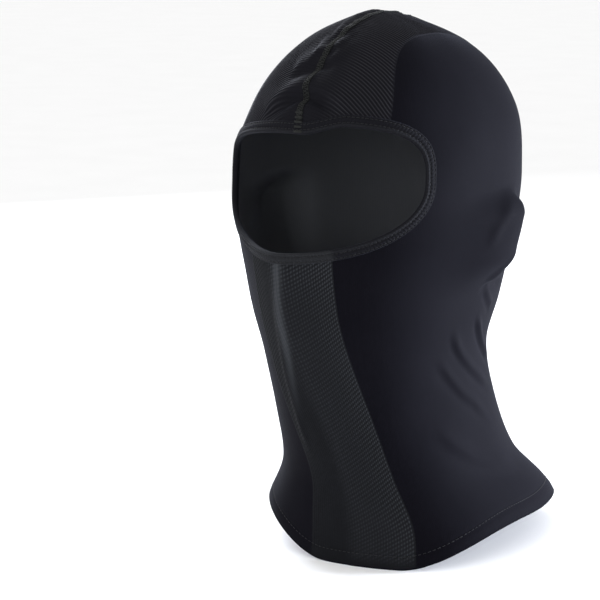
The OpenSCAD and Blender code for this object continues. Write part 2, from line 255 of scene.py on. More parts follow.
# %% Folds on the neck, the ear and the face
# Each fold: points as (turn, height), then height, the two widths, and the hollow beside it
NECK_FOLDS = [
    ([(101, 148), (110, 135), (120, 123), (132, 110.5)], 1.5, 3.2, 2.2, 0.7),
    ([(104, 163), (112, 155), (121, 147)], 1.1, 3.0, 2.0, 0.5),
    ([(78, 143), (88.5, 126), (103, 111.5), (124.5, 94.6)], 1.2, 4.5, 3.0, 0.5),
    ([(66, 128), (76, 114), (86.5, 101), (97, 92), (111, 76)], 0.9, 5.0, 3.4, 0.4),
    ([(96, 168), (112, 169.5), (131, 166)], 1.3, 3.5, 3.0, 1.0),
    ([(58, 84), (72, 68), (92, 54), (116, 46)], 0.7, 6.0, 4.5, 0.3),
]
FACE_FOLDS = [
    ([(-1, 192), (-0.7, 164), (-2, 142), (-4.2, 121), (-6.6, 86), (-7, 60)], 1.5, 2.2, 2.6, 0.0),
    ([(1.6, 191), (3.0, 181), (1.6, 170)], 0.8, 1.6, 1.6, 0.5),
]
EAR_RIM = [(86, 186), (89, 202), (97, 213), (106, 214), (112, 204), (111, 190), (105, 176), (98, 168)]


def head_folds(turn, z):
    """Relief of the folds that both sides of the head have, in millimetres."""
    x = np.radians(turn) * FOLD_RADIUS
    arc = math.radians(1) * FOLD_RADIUS
    total = np.zeros(turn.shape)
    for points, height, left_w, right_w, hollow in NECK_FOLDS:
        ours = [(a * arc, h) for a, h in points]
        total += fold_over(x, z, ours, height, left_w, right_w, hollow)
        # The other side folds too, but never as a mirror image. Where its folds lie is a guess
        theirs = [(-(a + 7 * math.sin(h)) * arc, h - 5) for a, h in points]
        total += fold_over(x, z, theirs, height * 0.85, right_w, left_w, 0.0)
    for points, height, left_w, right_w, hollow in FACE_FOLDS:
        total += fold_over(x, z, [(a * arc, h) for a, h in points], height, left_w, right_w, hollow)
    for sign in (1, -1):
        rim_line = [(sign * a * arc, h) for a, h in EAR_RIM]
        total += fold_over(x, z, rim_line, 1.1, 4.0, 4.0, 0.0, fade=0.12)
    return total


# %% Puckers along the seam
# Each pucker crosses the seam: points as (distance across, height), a height and its hollow below
BROW_PUCKERS = [
    ([(-30, 268), (-25.9, 271), (-15.6, 277), (-6.2, 282), (2, 283), (12, 281), (22, 276),
      (30, 271)], 2.7, 2.9),
    ([(-19, 291), (-14.6, 293), (-7.5, 296), (2, 299), (8, 299), (14, 297.5)], 1.8, 1.7),
    ([(-9, 301), (-5.8, 302), (2.9, 305), (8, 305)], 1.4, 1.3),
    ([(-8, 310), (-2, 312.5), (4, 312)], 1.3, 1.0),
]
SEAM_RIDGE = [(0.5, 283), (2.0, 288), (3.6, 294)]
PUCKER_PITCH = 13.0
CROWN_RISE = 85.0


def label_table():
    """How far a plane y = constant lies along the seam, for planes from the brow to the back."""
    phi = np.radians(np.arange(-90, 90.01, 0.5))
    depth = np.where(phi < 0, WIDEST[3], WIDEST[4])
    y = WIDEST[1] + depth * np.sin(phi)
    rise = np.hypot(depth * np.cos(phi), CROWN_RISE * np.sin(phi))
    along = np.concatenate([[0], np.cumsum((rise[1:] + rise[:-1]) / 2 * np.diff(phi))])
    return y, along


LABEL_Y, LABEL_MM = label_table()


def label_of(y):
    return np.interp(y, LABEL_Y, LABEL_MM)


def crown_shift(z):
    """How far the crown's middle has moved back from the widest row's."""
    return head_rows(z)[0] - WIDEST[1]


def seam_place(th, z):
    """Distance across the centre seam and distance along it, and a share that is 0 off the seam."""
    p = head_point(th, z)
    along = np.where(z >= CROWN_Z, label_of(p[..., 1] - crown_shift(z)), LABEL_MM[-1] + CROWN_Z - z)
    behind = np.abs(wrap(th)) > 90
    on = np.where(behind, 1.0, ease(258, 264, z))
    return p[..., 0], along, on


def seam_puckers(th, z):
    across, along, on = seam_place(th, z)
    front = (np.abs(wrap(th)) < 90) & (z > 250)
    ridges = np.zeros(across.shape)
    for points, height, hollow in BROW_PUCKERS:
        # The flank over a pucker is long, and the one under it is steep
        ridges += fold_over(across, z, points, height, 6.5, 2.6, hollow, fade=0.3)
    ridges += fold_over(across, z, SEAM_RIDGE, 0.7, 1.6, 1.6)
    total = np.where(front, ridges, 0)
    # Smaller ones go on over the crown and down the back, out of step on the two sides
    step = along / PUCKER_PITCH + 0.18 * np.sin(along / 17) + np.where(across > 0, 0.12, 0)
    wave = np.cos(2 * np.pi * step) ** 3
    rest = ease(140, 175, along) * 0.42 + ease(60, 90, along) * 0.25
    total += rest * wave * np.exp(-((across / 9) ** 2))
    # The seam itself sits in a shallow valley
    total -= 0.55 * np.exp(-((across / 3.4) ** 2))
    return total * on


def soft_waves(turn, z):
    """Very slight unevenness of a knit in wear."""
    a = np.radians(turn)
    waves = np.sin(5 * a + z / 23) * np.sin(z / 31 + 1.3) + 0.6 * np.sin(9 * a - z / 14 + 2)
    return 0.16 * waves * ease(0, 40, z)


def crown_peak(th, z):
    """The seam lifts the knit into a low peak, and the crown on the wearer's left lies flatter."""
    p = head_point(th, z)
    peak = np.exp(-(((p[..., 0] + 5) / 11) ** 2) - (((p[..., 1] + 30) / 24) ** 2))
    flat = np.exp(-(((p[..., 0] - 24) / 19) ** 2) - (((p[..., 1] + 14) / 34) ** 2))
    return (2.3 * peak - 2.4 * flat) * ease(CROWN_Z, CROWN_Z + 40, z)


def relief(th, z):
    turn = wrap(th + lean(z))
    return head_folds(turn, z) + seam_puckers(th, z) + soft_waves(turn, z) + crown_peak(th, z)


def over(th, z, h):
    """Points at height h over the knit's outer face, folds included."""
    th, z = np.broadcast_arrays(np.asarray(th, float), np.asarray(z, float))
    height = relief(th, z) + h
    return knit_point(th, z) + height[..., None] * out_of(th, z)


sample = relief(*np.meshgrid(np.linspace(-170, 170, 300), np.linspace(30, 315, 200), indexing="ij"))
print("relief goes from", round(float(sample.min()), 2), "to", round(float(sample.max()), 2), "mm")

# %% [markdown]
# ## Lines of the pattern
# A pattern maker draws the edges of the pieces first. These are the lines that the CAD panels share:
# the rim of the face opening, the edges of the mesh panel, and the edges of the two rib panels.
# %% Rim, mesh panel and rib panel edges
OPENING_Z, OPENING_DEG, OPENING_UP, OPENING_DOWN, OPENING_DIP = 231.0, 51.0, 33.0, 38.0, 5.5
MESH_DEG, MESH_TURN = 21.0, 16.0
RIB_W, RIB_DEG, RIB_TURN, SEAM_TURN = 34.0, 22.0, 52.0, 88.75
BINDING_W, PANEL_D, FOOT = 6.0, 2.3, 1.2
MOUTH_ROWS, BACK_ROWS, ALL_ROWS = 18, 24, 46


def rim(t, d):
    """Spot on the face opening's curve, pushed out from the rim by d."""
    c, s = np.cos(np.radians(t)), np.sin(np.radians(t))
    x = np.abs(c) ** 0.85
    turn = (OPENING_DEG + d / (WIDEST[2] * 1.12) * 180 / np.pi) * np.sign(c) * x
    # The centre seam pulls the middle of the brow down, and the wearer's right side with it
    pull = OPENING_DIP * (1 - ease(3, 20, turn))
    left_up = (OPENING_UP + d) * np.maximum(0, 1 - x**3) ** (1 / 3) - pull
    right_up = (OPENING_UP + d - OPENING_DIP) * np.sqrt(np.maximum(0, 1 - x * x))
    up = np.where(c > 0, left_up, right_up)
    down = -(OPENING_DOWN + d) * np.sqrt(np.maximum(0, 1 - x * x))
    z = OPENING_Z + np.where(s > 0, up, down)
    return turn - lean(z), z


def foot(th):
    return hem_z(th) + FOOT


def mesh_spot(u, f):
    """The front mesh panel: u from -1 to 1 across it, f from 0 to 1 up it."""
    top_th, top_z = rim(270 + u * MESH_TURN, PANEL_D)
    low = u * MESH_DEG
    return mix(low, top_th, ease(0, 1, f)), mix(foot(low), top_z, f)


def crown_depth(x, z, depth):
    left = crown_left(z) ** BACK_SQUARE - (x / WIDEST[2]) ** BACK_SQUARE
    return depth * np.maximum(0, left) ** (1 / BACK_SQUARE)


def crown_edge(side, a):
    """Outer edge of a rib panel over the crown, from a = 0 at the brow to a = 180 at the back."""
    start_th, start_z = rim(RIB_TURN if side > 0 else 180 - RIB_TURN, PANEL_D)
    own = np.where(a < 90, 1.0, 0.0)
    start_x = head_point(start_th + lean(start_z), start_z)[..., 0]
    edge_x = side * RIB_W
    top = CROWN_Z + (TOP_Z - CROWN_Z) * (1 - (edge_x / WIDEST[2]) ** 2) ** (1 / CROWN_SQUARE)
    x = mix(start_x, edge_x, np.where(a < 90, ease(0, 70, a), 1))
    z = mix(np.where(a < 90, start_z, CROWN_Z), top, np.sin(np.radians(a)))
    front = np.degrees(np.arctan2(x, crown_depth(np.abs(x), z, WIDEST[3]))) - own * lean(z)
    back = side * (180 - np.degrees(np.arctan2(np.abs(x), crown_depth(np.abs(x), z, WIDEST[4]))))
    th = np.where(a <= 90, front, back)
    return np.where(a <= 0, start_th, th), np.where(a <= 0, start_z, z)


def back_line(side, v, f, crown_half):
    """Line v of a rib panel down the back, f = 0 at the hem and 1 at the widest row."""
    half = mix(v * RIB_DEG, crown_half, ease(0.3, 1, f))
    th = np.where(side > 0, 180 - half, half - 180)
    return th, mix(foot(th), CROWN_Z, f)


def rib_edge(side, k):
    """Outer edge of a rib panel: k from 0 at the hem, up the back and over, to 46 at the brow."""
    crown_half = 180 - abs(float(crown_edge(side, np.array(180.0))[0]))
    low_th, low_z = back_line(side, 1.0, np.minimum(k / BACK_ROWS, 1), crown_half)
    a = 180 * (ALL_ROWS - np.maximum(k, BACK_ROWS)) / (ALL_ROWS - BACK_ROWS)
    high_th, high_z = crown_edge(side, a)
    low = k <= BACK_ROWS
    return np.where(low, low_th, high_th), np.where(low, low_z, high_z)


def side_front(side, k):
    """Front edge of a side panel: up the mesh panel, then round the end of the opening."""
    low_th, low_z = mesh_spot(side, np.minimum(k / MOUTH_ROWS, 1))
    f = np.maximum(0, (k - MOUTH_ROWS) / (ALL_ROWS - MOUTH_ROWS))
    high_th, high_z = rim(270 + side * mix(MESH_TURN, 90 + RIB_TURN, f), PANEL_D)
    low = k <= MOUTH_ROWS
    return np.where(low, low_th, high_th), np.where(low, low_z, high_z)


def side_spot(side, u, k):
    """Spot on a side panel, u = 0 at its front edge and 1 at the rib panel."""
    front_th, front_z = side_front(side, k)
    back_th, back_z = rib_edge(side, k)
    th = mix(front_th, back_th, u)
    arch = hem_z(th) - mix(hem_z(front_th), hem_z(back_th), u)
    return th, mix(front_z, back_z, u) + arch * (1 - np.minimum(1, k / MOUTH_ROWS)) ** 1.5


print("the rib panel's edge starts at", [round(float(v), 1) for v in crown_edge(1, np.array(0.0))])

# %% [markdown]
# ## Yarn and knit as materials
# Black sportswear yarn is never one flat black: each filament catches a little light, the loops
# make a grain, and the surface brightens where it turns away. Painting that would tie it to one
# view. A material made of nodes shows it from everywhere, and the effects that several fabrics
# share are two node groups here: one draws the loops of the knit, one varies the yarn's tone.
# %% Small helpers for node trees
def add_node(tree, kind, **settings):
    node = tree.nodes.new(kind)
    for key, value in settings.items():
        setattr(node, key, value)
    return node


def calc(tree, operation, *values):
    """A Math node: each value is a number or another node's output."""
    node = add_node(tree, "ShaderNodeMath", operation=operation)
    for socket, value in zip(node.inputs, values):
        if isinstance(value, (int, float)):
            socket.default_value = value
        else:
            tree.links.new(value, socket)
    return node.outputs[0]


def new_look(name):
    """An empty material with its tree and its shader."""
    look = bpy.data.materials.new(name)
    look.use_nodes = True
    return look, look.node_tree, look.node_tree.nodes["Principled BSDF"]


def two_tones(tree, first, second, share):
    """A colour between two, by a share that another node gives."""
    node = add_node(tree, "ShaderNodeMix", data_type="RGBA")
    node.inputs["A"].default_value = (*first, 1)
    node.inputs["B"].default_value = (*second, 1)
    tree.links.new(share, node.inputs["Factor"])
    return node.outputs["Result"]


def bumped(tree, shader, height, distance_mm):
    """A bump of a real height for the shader, and its node."""
    node = add_node(tree, "ShaderNodeBump")
    node.inputs["Distance"].default_value = distance_mm * MM
    tree.links.new(height, node.inputs["Height"])
    tree.links.new(node.outputs["Normal"], shader.inputs["Normal"])
    return node


def new_group(name, inputs, outputs):
    """A shader node group with named sockets, and its input and output nodes."""
    group = bpy.data.node_groups.new(name, "ShaderNodeTree")
    for label, kind, default in inputs:
        socket = group.interface.new_socket(label, in_out="INPUT", socket_type=kind)
        if default is not None:
            socket.default_value = default
    for label, kind in outputs:
        group.interface.new_socket(label, in_out="OUTPUT", socket_type=kind)
    return group, group.nodes.new("NodeGroupInput"), group.nodes.new("NodeGroupOutput")


# %% The loops of the knit
def knit_loops_group():
    """Height and shade of rows of V-shaped loops, from a place in millimetres."""
    group, given, made = new_group(
        "knit loops",
        [("Place", "NodeSocketVector", None), ("Wale", "NodeSocketFloat", 1.0),
         ("Course", "NodeSocketFloat", 0.7), ("Slant", "NodeSocketFloat", 0.6),
         ("Wobble", "NodeSocketFloat", 0.1)],
        [("Height", "NodeSocketFloat"), ("Gap", "NodeSocketFloat")],
    )

    def do(operation, *values):
        return calc(group, operation, *values)

    noise = add_node(group, "ShaderNodeTexNoise")
    noise.inputs["Scale"].default_value = 0.35
    noise.inputs["Detail"].default_value = 2
    group.links.new(given.outputs["Place"], noise.inputs["Vector"])
    drift = do("MULTIPLY", do("SUBTRACT", noise.outputs["Fac"], 0.5), given.outputs["Wobble"])
    parts = add_node(group, "ShaderNodeSeparateXYZ")
    group.links.new(given.outputs["Place"], parts.inputs[0])
    across = do("ADD", do("DIVIDE", parts.outputs["X"], given.outputs["Wale"]), drift)
    along = do("DIVIDE", parts.outputs["Y"], given.outputs["Course"])
    leg = do("MULTIPLY", do("ABSOLUTE", do("SUBTRACT", do("FRACT", across), 0.5)), 2)
    row = do("FRACT", do("ADD", along, do("MULTIPLY", leg, given.outputs["Slant"])))
    loop = do("SUBTRACT", 1, do("ABSOLUTE", do("SUBTRACT", do("MULTIPLY", row, 2), 1)))
    round_leg = do("SUBTRACT", 1, do("POWER", leg, 3))
    height = do("MULTIPLY", round_leg, do("ADD", 0.45, do("MULTIPLY", loop, 0.55)))
    group.links.new(height, made.inputs["Height"])
    group.links.new(do("SUBTRACT", 1, height), made.inputs["Gap"])
    return group


# %% The yarn's tone
def yarn_tone_group():
    """A tone round 0.5: broad clouds, fine flecks of filament, and long streaks along the wales."""
    group, given, made = new_group(
        "yarn tone",
        [("Place", "NodeSocketVector", None), ("Cloud size", "NodeSocketFloat", 40.0),
         ("Fleck size", "NodeSocketFloat", 1.2), ("Fleck share", "NodeSocketFloat", 0.5)],
        [("Tone", "NodeSocketFloat"), ("Fleck", "NodeSocketFloat")],
    )

    def noise(size, detail, stretch=None):
        place = given.outputs["Place"]
        if stretch is not None:
            squeeze = add_node(group, "ShaderNodeVectorMath", operation="MULTIPLY")
            squeeze.inputs[1].default_value = stretch
            group.links.new(place, squeeze.inputs[0])
            place = squeeze.outputs[0]
        node = add_node(group, "ShaderNodeTexNoise")
        node.inputs["Detail"].default_value = detail
        group.links.new(place, node.inputs["Vector"])
        if isinstance(size, float):
            node.inputs["Scale"].default_value = size
        else:
            group.links.new(calc(group, "DIVIDE", 1, size), node.inputs["Scale"])
        return node.outputs["Fac"]

    cloud = noise(given.outputs["Cloud size"], 3)
    fleck = noise(given.outputs["Fleck size"], 2)
    streak = noise(0.5, 1, stretch=(1.0, 0.06, 1.0))
    fine = calc(group, "ADD", calc(group, "MULTIPLY", fleck, 0.6), calc(group, "MULTIPLY", streak, 0.4))
    blend = add_node(group, "ShaderNodeMix", data_type="FLOAT")
    group.links.new(given.outputs["Fleck share"], blend.inputs["Factor"])
    group.links.new(cloud, blend.inputs["A"])
    group.links.new(fine, blend.inputs["B"])
    group.links.new(blend.outputs["Result"], made.inputs["Tone"])
    group.links.new(fleck, made.inputs["Fleck"])
    return group


KNIT_LOOPS = knit_loops_group()
YARN_TONE = yarn_tone_group()
print("node groups:", KNIT_LOOPS.name, "and", YARN_TONE.name)

# %% [markdown]
# ## One recipe for the fabrics
# The jersey, the rib, the mesh and the folded edge are knitted from the same yarns, so one recipe
# makes them all: two tones of a colour, a grain of loops, and a sheen for the fine fuzz, which is
# what lifts the edges of black cloth towards blue. The sheen is a plain number on the shader.
# %% The fabric recipe
def knit_look(name, dark, light, wale, course, bump_mm, rough=(0.72, 0.9), sheen=0.3,
              sheen_tint=(0.55, 0.6, 0.8), sheen_rough=0.35, specular=0.25, pale_yarn_and_highlight=None, cloud=40.0,
              fleck=0.5, gap_shade=0.55):
    """dark and light are the yarn's two tones. The pale colour, if one is given, is what it turns to where
    the third number of the knit attribute says so: where the knit is opened or another yarn shows, and where
    a highlight is painted on the ribs' crests, the roll of the folded edge and the ridge of the mesh panel."""
    look, tree, shader = new_look(name)
    place = add_node(tree, "ShaderNodeAttribute", attribute_name="knit", attribute_type="GEOMETRY")
    loops = add_node(tree, "ShaderNodeGroup", node_tree=KNIT_LOOPS)
    loops.inputs["Wale"].default_value = wale
    loops.inputs["Course"].default_value = course
    tone = add_node(tree, "ShaderNodeGroup", node_tree=YARN_TONE)
    tone.inputs["Cloud size"].default_value = cloud
    tone.inputs["Fleck share"].default_value = fleck
    for node in (loops, tone):
        tree.links.new(place.outputs["Vector"], node.inputs["Place"])
    ramp = add_node(tree, "ShaderNodeMapRange")
    for label, value in (("From Min", 0.3), ("From Max", 0.7)):
        ramp.inputs[label].default_value = value
    tree.links.new(tone.outputs["Tone"], ramp.inputs["Value"])
    result = two_tones(tree, dark, light, ramp.outputs["Result"])
    if pale_yarn_and_highlight is not None:
        parts = add_node(tree, "ShaderNodeSeparateXYZ")
        tree.links.new(place.outputs["Vector"], parts.inputs[0])
        other = add_node(tree, "ShaderNodeMix", data_type="RGBA")
        other.inputs["B"].default_value = (*pale_yarn_and_highlight, 1)
        tree.links.new(parts.outputs["Z"], other.inputs["Factor"])
        tree.links.new(result, other.inputs["A"])
        result = other.outputs["Result"]
    # The gaps between the loops are darkened: painted shade in the knit's recesses
    shade = add_node(tree, "ShaderNodeMix", data_type="RGBA", blend_type="MULTIPLY")
    tree.links.new(calc(tree, "MULTIPLY", loops.outputs["Gap"], gap_shade), shade.inputs["Factor"])
    tree.links.new(result, shade.inputs["A"])
    shade.inputs["B"].default_value = (0.35, 0.35, 0.38, 1)
    tree.links.new(shade.outputs["Result"], shader.inputs["Base Color"])
    dull = add_node(tree, "ShaderNodeMapRange")
    dull.inputs["To Min"].default_value, dull.inputs["To Max"].default_value = rough
    tree.links.new(tone.outputs["Fleck"], dull.inputs["Value"])
    tree.links.new(dull.outputs["Result"], shader.inputs["Roughness"])
    fuzz = calc(tree, "ADD", loops.outputs["Height"], calc(tree, "MULTIPLY", tone.outputs["Fleck"], 0.5))
    bumped(tree, shader, fuzz, bump_mm).inputs["Strength"].default_value = 0.8
    shader.inputs["Sheen Weight"].default_value = sheen
    shader.inputs["Sheen Roughness"].default_value = sheen_rough
    shader.inputs["Sheen Tint"].default_value = (*sheen_tint, 1)
    shader.inputs["Specular IOR Level"].default_value = specular
    look.diffuse_color = (*light, 1)
    return look


# %% The fabrics of this hood
# The black tones are about ten times darker than real black cloth, which reflects a few per cent, so they
# hold painted shade. They were matched under this white world, so another scene will need lighter ones. The
# reverse is far lighter than the face, also by matching, so its tone is painted light on the inside of the
# hood: a real one is knitted from the same yarns.
BLACK_JERSEY = knit_look("black jersey", (0.0022, 0.0021, 0.0038), (0.0038, 0.0036, 0.0058), 0.95, 0.7, 0.04,
                         sheen=0.03, specular=0.035, gap_shade=0.35)
BLACK_RIB = knit_look("black rib knit", (0.0034, 0.0033, 0.0053), (0.0056, 0.0055, 0.008), 0.975, 0.75, 0.06,
                      pale_yarn_and_highlight=(0.045, 0.045, 0.051), sheen=0.04, specular=0.08)
GREY_MESH = knit_look("grey mesh knit", (0.0034, 0.0037, 0.0049), (0.0054, 0.0058, 0.0075), 0.95, 0.6, 0.05,
                      pale_yarn_and_highlight=(0.036, 0.039, 0.044), sheen=0.04, sheen_tint=(0.6, 0.68, 0.74), specular=0.08)
REVERSE_KNIT = knit_look("reverse of the knit", (0.066, 0.069, 0.077), (0.076, 0.079, 0.088), 0.95, 0.7,
                         0.03, rough=(0.85, 0.95), sheen=0.04, specular=0.06, fleck=0.25, cloud=60.0,
                         gap_shade=0.2)
FOLDED_EDGE = knit_look("folded edge knit", (0.0038, 0.0038, 0.0058), (0.0064, 0.0064, 0.009), 1.9, 0.9, 0.1,
                        pale_yarn_and_highlight=(0.017, 0.018, 0.0205), sheen=0.05, specular=0.08)
HEM_KNIT = knit_look("hem knit", (0.0022, 0.0021, 0.0038), (0.0038, 0.0036, 0.0058), 1.2, 0.8, 0.06,
                     sheen=0.03, specular=0.035)
SEAM_KNIT = knit_look("flat seam knit", (0.0036, 0.0038, 0.0044), (0.006, 0.0063, 0.007), 0.8, 1.3, 0.1,
                      sheen=0.04, sheen_tint=(0.62, 0.66, 0.62), specular=0.08)
print("fabrics:", [m.name for m in bpy.data.materials if "knit" in m.name or "jersey" in m.name])

# %% [markdown]
# ## Thread, elastic and label
# Sewing thread is a twist of filaments, so fine slanting lines run round it. Elastic is a rubber
# core wrapped in yarn. The label is a satin ribbon, woven and smoother than any of the knits.
# %% Small materials
def twisted_look(name, dark, light, turns, rough, sheen, object_scale=1000.0):
    """Thread or cord: slanting filaments from a wave that runs through the object's own space."""
    look, tree, shader = new_look(name)
    place = add_node(tree, "ShaderNodeTexCoord")
    grow = add_node(tree, "ShaderNodeVectorMath", operation="SCALE")
    grow.inputs["Scale"].default_value = object_scale
    tree.links.new(place.outputs["Object"], grow.inputs[0])
    twist = add_node(tree, "ShaderNodeTexWave", wave_type="BANDS", bands_direction="DIAGONAL")
    twist.inputs["Scale"].default_value = turns
    twist.inputs["Distortion"].default_value = 1.2
    tree.links.new(grow.outputs[0], twist.inputs["Vector"])
    tree.links.new(two_tones(tree, dark, light, twist.outputs["Fac"]), shader.inputs["Base Color"])
    bumped(tree, shader, twist.outputs["Fac"], 0.08)
    dull = calc(tree, "ADD", calc(tree, "MULTIPLY", twist.outputs["Fac"], 0.12), rough)
    tree.links.new(dull, shader.inputs["Roughness"])
    shader.inputs["Sheen Weight"].default_value = sheen
    shader.inputs["Specular IOR Level"].default_value = 0.15
    look.diffuse_color = (*light, 1)
    return look


SEWING_THREAD = twisted_look("sewing thread", (0.005, 0.005, 0.007), (0.012, 0.0125, 0.014), 1.3, 0.6, 0.05)
SEAM_THREAD = twisted_look("seam thread", (0.006, 0.0066, 0.0064), (0.014, 0.0155, 0.0145), 1.3, 0.6, 0.05)
ELASTIC_WRAP = twisted_look("wrapped elastic", (0.02, 0.02, 0.022), (0.05, 0.05, 0.054), 0.9, 0.6, 0.1)
LABEL_SATIN = knit_look("woven label satin", (0.03, 0.03, 0.032), (0.045, 0.045, 0.048), 0.3, 0.3, 0.04,
                        rough=(0.35, 0.5), sheen=0.1, specular=0.5, fleck=0.3)
print("threads:", SEWING_THREAD.name, SEAM_THREAD.name, ELASTIC_WRAP.name)

# %% [markdown]
# ## From grids of spots to cloth
# A panel of cloth has a face, a back and a thin edge. Blender's Solidify modifier could thicken a
# single sheet. The two skins are built by hand here, because the face needs a fine grid for its
# ribs or meshes, and the back, which is smooth, is happy with every second row and column.
# %% Cloth builder
ALL_EDGES = [(edge, 0, None) for edge in ("bottom", "top", "first", "last")]


def grid_faces(ids):
    return np.stack([ids[:-1, :-1], ids[:-1, 1:], ids[1:, 1:], ids[1:, :-1]], axis=-1).reshape(-1, 4)


def edge_strip(outer, inner):
    """Closes one edge, from the numbers of its outer points and of every second inner one."""
    return [[outer[2 * i], outer[2 * i + 1], outer[2 * i + 2], inner[i + 1], inner[i]]
            for i in range(len(inner) - 1)]


def new_piece(name, points, faces, looks, knit=None, slots=None, sharp=None):
    """A mesh piece from points in millimetres. looks are its materials, slots one index a face."""
    mesh = bpy.data.meshes.new(name)
    mesh.from_pydata((np.asarray(points) * MM).tolist(), [], faces)
    for look in looks:
        mesh.materials.append(look)
    if slots is not None:
        mesh.polygons.foreach_set("material_index", np.asarray(slots, np.int32))
    if knit is not None:
        own = mesh.attributes.new("knit", "FLOAT_VECTOR", "POINT")
        own.data.foreach_set("vector", np.asarray(knit, np.float32).ravel())
    close = bmesh.new()
    close.from_mesh(mesh)
    bmesh.ops.remove_doubles(close, verts=close.verts, dist=0.002 * MM)
    bmesh.ops.recalc_face_normals(close, faces=close.faces)
    close.to_mesh(mesh)
    close.free()
    mesh.shade_smooth()
    if sharp is not None:
        mesh.set_sharp_from_angle(angle=math.radians(sharp))
    piece = bpy.data.objects.new(name, mesh)
    bpy.context.scene.collection.objects.link(piece)
    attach(piece, "root")
    return piece


class Cloth:
    """Collects the patches of one cloth: each has a fine face, a back of every second point, and
    closed edges where the patch doesn't join another one."""

    def __init__(self):
        self.points, self.knit, self.faces, self.slots = [], [], [], []
        self.count = 0

    def keep(self, points, knit):
        self.points.append(points.reshape(-1, 3))
        self.knit.append(knit.reshape(-1, 3))
        ids = self.count + np.arange(points[..., 0].size).reshape(points.shape[:2])
        self.count += ids.size
        return ids

    def patch(self, face, back, knit, edges):
        """face, back and knit are grids of the same size. edges names the ones to close, as a side
        (top, bottom, first, last) with the range of points that is closed."""
        out = self.keep(face, knit)
        inside = self.keep(back[::2, ::2], knit[::2, ::2])
        sides = {"bottom": (out[0], inside[0]), "top": (out[-1], inside[-1]),
                 "first": (out[:, 0], inside[:, 0]), "last": (out[:, -1], inside[:, -1])}
        self.add(grid_faces(out).tolist(), 0)
        self.add(grid_faces(inside)[:, ::-1].tolist(), 1)
        for side, low, high in edges:
            outer, inner = sides[side]
            high = len(outer) - 1 if high is None else high
            self.add(edge_strip(outer[low:high + 1].tolist(), inner[low // 2:high // 2 + 1].tolist()), 1)

    def add(self, faces, slot):
        self.faces += faces
        self.slots += [slot] * len(faces)

    def piece(self, name, looks):
        made = new_piece(name, np.vstack(self.points), self.faces, looks, np.vstack(self.knit),
                         self.slots, sharp=60)
        made.data.update()
        area = sum(p.area for p in made.data.polygons) / 2
        print(name, len(made.data.polygons), "faces,", round(area, 4), "square metres")
        return made


def skins(th, z, height):
    """Face and back of the cloth at spots, the face raised by its own knitted relief."""
    fall = relief(th, z)
    base, out = knit_point(th, z), out_of(th, z)
    return base + (fall + height)[..., None] * out, base + (fall - KNIT_T)[..., None] * out


# %% [markdown]
# ## The two side panels
# The sides are plain black jersey, cut from the front edge round to the back. The grid follows the
# pattern's own lines, so its edges are exactly the edges of the neighbouring panels.
# %% Side panels
SIDE_ROWS, SIDE_COLS = ALL_ROWS * 7, 120
YARN_RADIUS = 75.0
HEM_STITCH_Z = 8.0


def hem_puff(th, z):
    """The knit swells a little over the turned hem and dips where it is stitched."""
    up = z - hem_z(th)
    return 0.25 * np.exp(-(((up - 4.5) / 2.2) ** 2)) - 0.3 * np.exp(-(((up - HEM_STITCH_Z) / 0.9) ** 2))


def side_panel(name, side):
    k, u = np.meshgrid(np.linspace(0, ALL_ROWS, SIDE_ROWS + 1), np.linspace(0, 1, SIDE_COLS + 1),
                       indexing="ij")
    th, z = side_spot(side, u, k)
    th[-1], z[-1] = th[-1, 0], z[-1, 0]
    face, back = skins(th, z, hem_puff(th, z))
    knit = np.stack([np.radians(th) * YARN_RADIUS, z, np.zeros_like(z)], axis=-1)
    cloth = Cloth()
    cloth.patch(face, back, knit, [("bottom", 0, None), ("first", 0, None), ("last", 0, None)])
    piece = cloth.piece(name, [BLACK_JERSEY, REVERSE_KNIT])
    return piece


left_side = side_panel("left_side_cloth", 1)
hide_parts("left_side_panel")
right_side = side_panel("right_side_cloth", -1)
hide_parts("right_side_panel")

# %% [markdown]
# ## The two rib panels
# Fine ribs run over the crown. They are the wales of the knitted tube: they climb the sides, lean
# over and end at the seam, because the tube is closed flat along its top. Drawn as a texture they
# would swim. A wale that does this lies in a plane across the head, so the rows of the grid here
# are such planes, eight to a rib, and each rib is real relief. Down the back the ribs hang straight.
# %% Height of the crown over a place
def crown_height(x, y):
    """Spot at which the crown, with no lean, passes over (x, y), y being from its own middle."""
    low, high = np.full(x.shape, CROWN_Z), np.full(x.shape, TOP_Z)
    for _ in range(34):
        z = (low + high) / 2
        edge = head_point(np.degrees(np.arctan2(x, WIDEST[1] - y)), z)
        edge_y = edge[..., 1] - head_rows(z)[0]
        outside = np.hypot(x, y - WIDEST[1]) > np.hypot(edge[..., 0], edge_y)
        high = np.where(outside, z, high)
        low = np.where(outside, low, z)
    z = (low + high) / 2
    return np.degrees(np.arctan2(x, WIDEST[1] - y)), z


def rib_border(side):
    """The outer border of a rib panel as places (x, y) with no lean: rim, edge, then the line
    across the back at the widest height."""
    far = RIB_TURN if side > 0 else 180 - RIB_TURN
    rim_th, rim_z = rim(np.linspace(SEAM_TURN, far, 80), PANEL_D)
    edge_th, edge_z = crown_edge(side, np.linspace(0.5, 180, 500))
    back_th = np.linspace(edge_th[-1], side * 180, 160)
    th = np.concatenate([rim_th, edge_th, back_th])
    z = np.concatenate([rim_z, edge_z, np.full(len(back_th), CROWN_Z)])
    p = head_point(th, z)
    y = p[:, 1] - crown_shift(z)
    # The last number is how many points come before the line across the back
    edge_points = len(rim_th) + len(edge_th)
    return np.abs(p[:, 0]), np.maximum.accumulate(y + np.arange(len(th)) * 1e-7), edge_points


RIB_PITCH = 1.95
RIB_STEPS = 8
RIB_HEIGHT = 0.42
CROWN_COLS = 44
BACK_STEPS = 96


def rib_height(label):
    """Narrow rounded ribs with wider valleys between them."""
    wave = 0.5 + 0.5 * np.cos(2 * np.pi * label / RIB_PITCH)
    return RIB_HEIGHT * (wave**1.6 - 0.4)


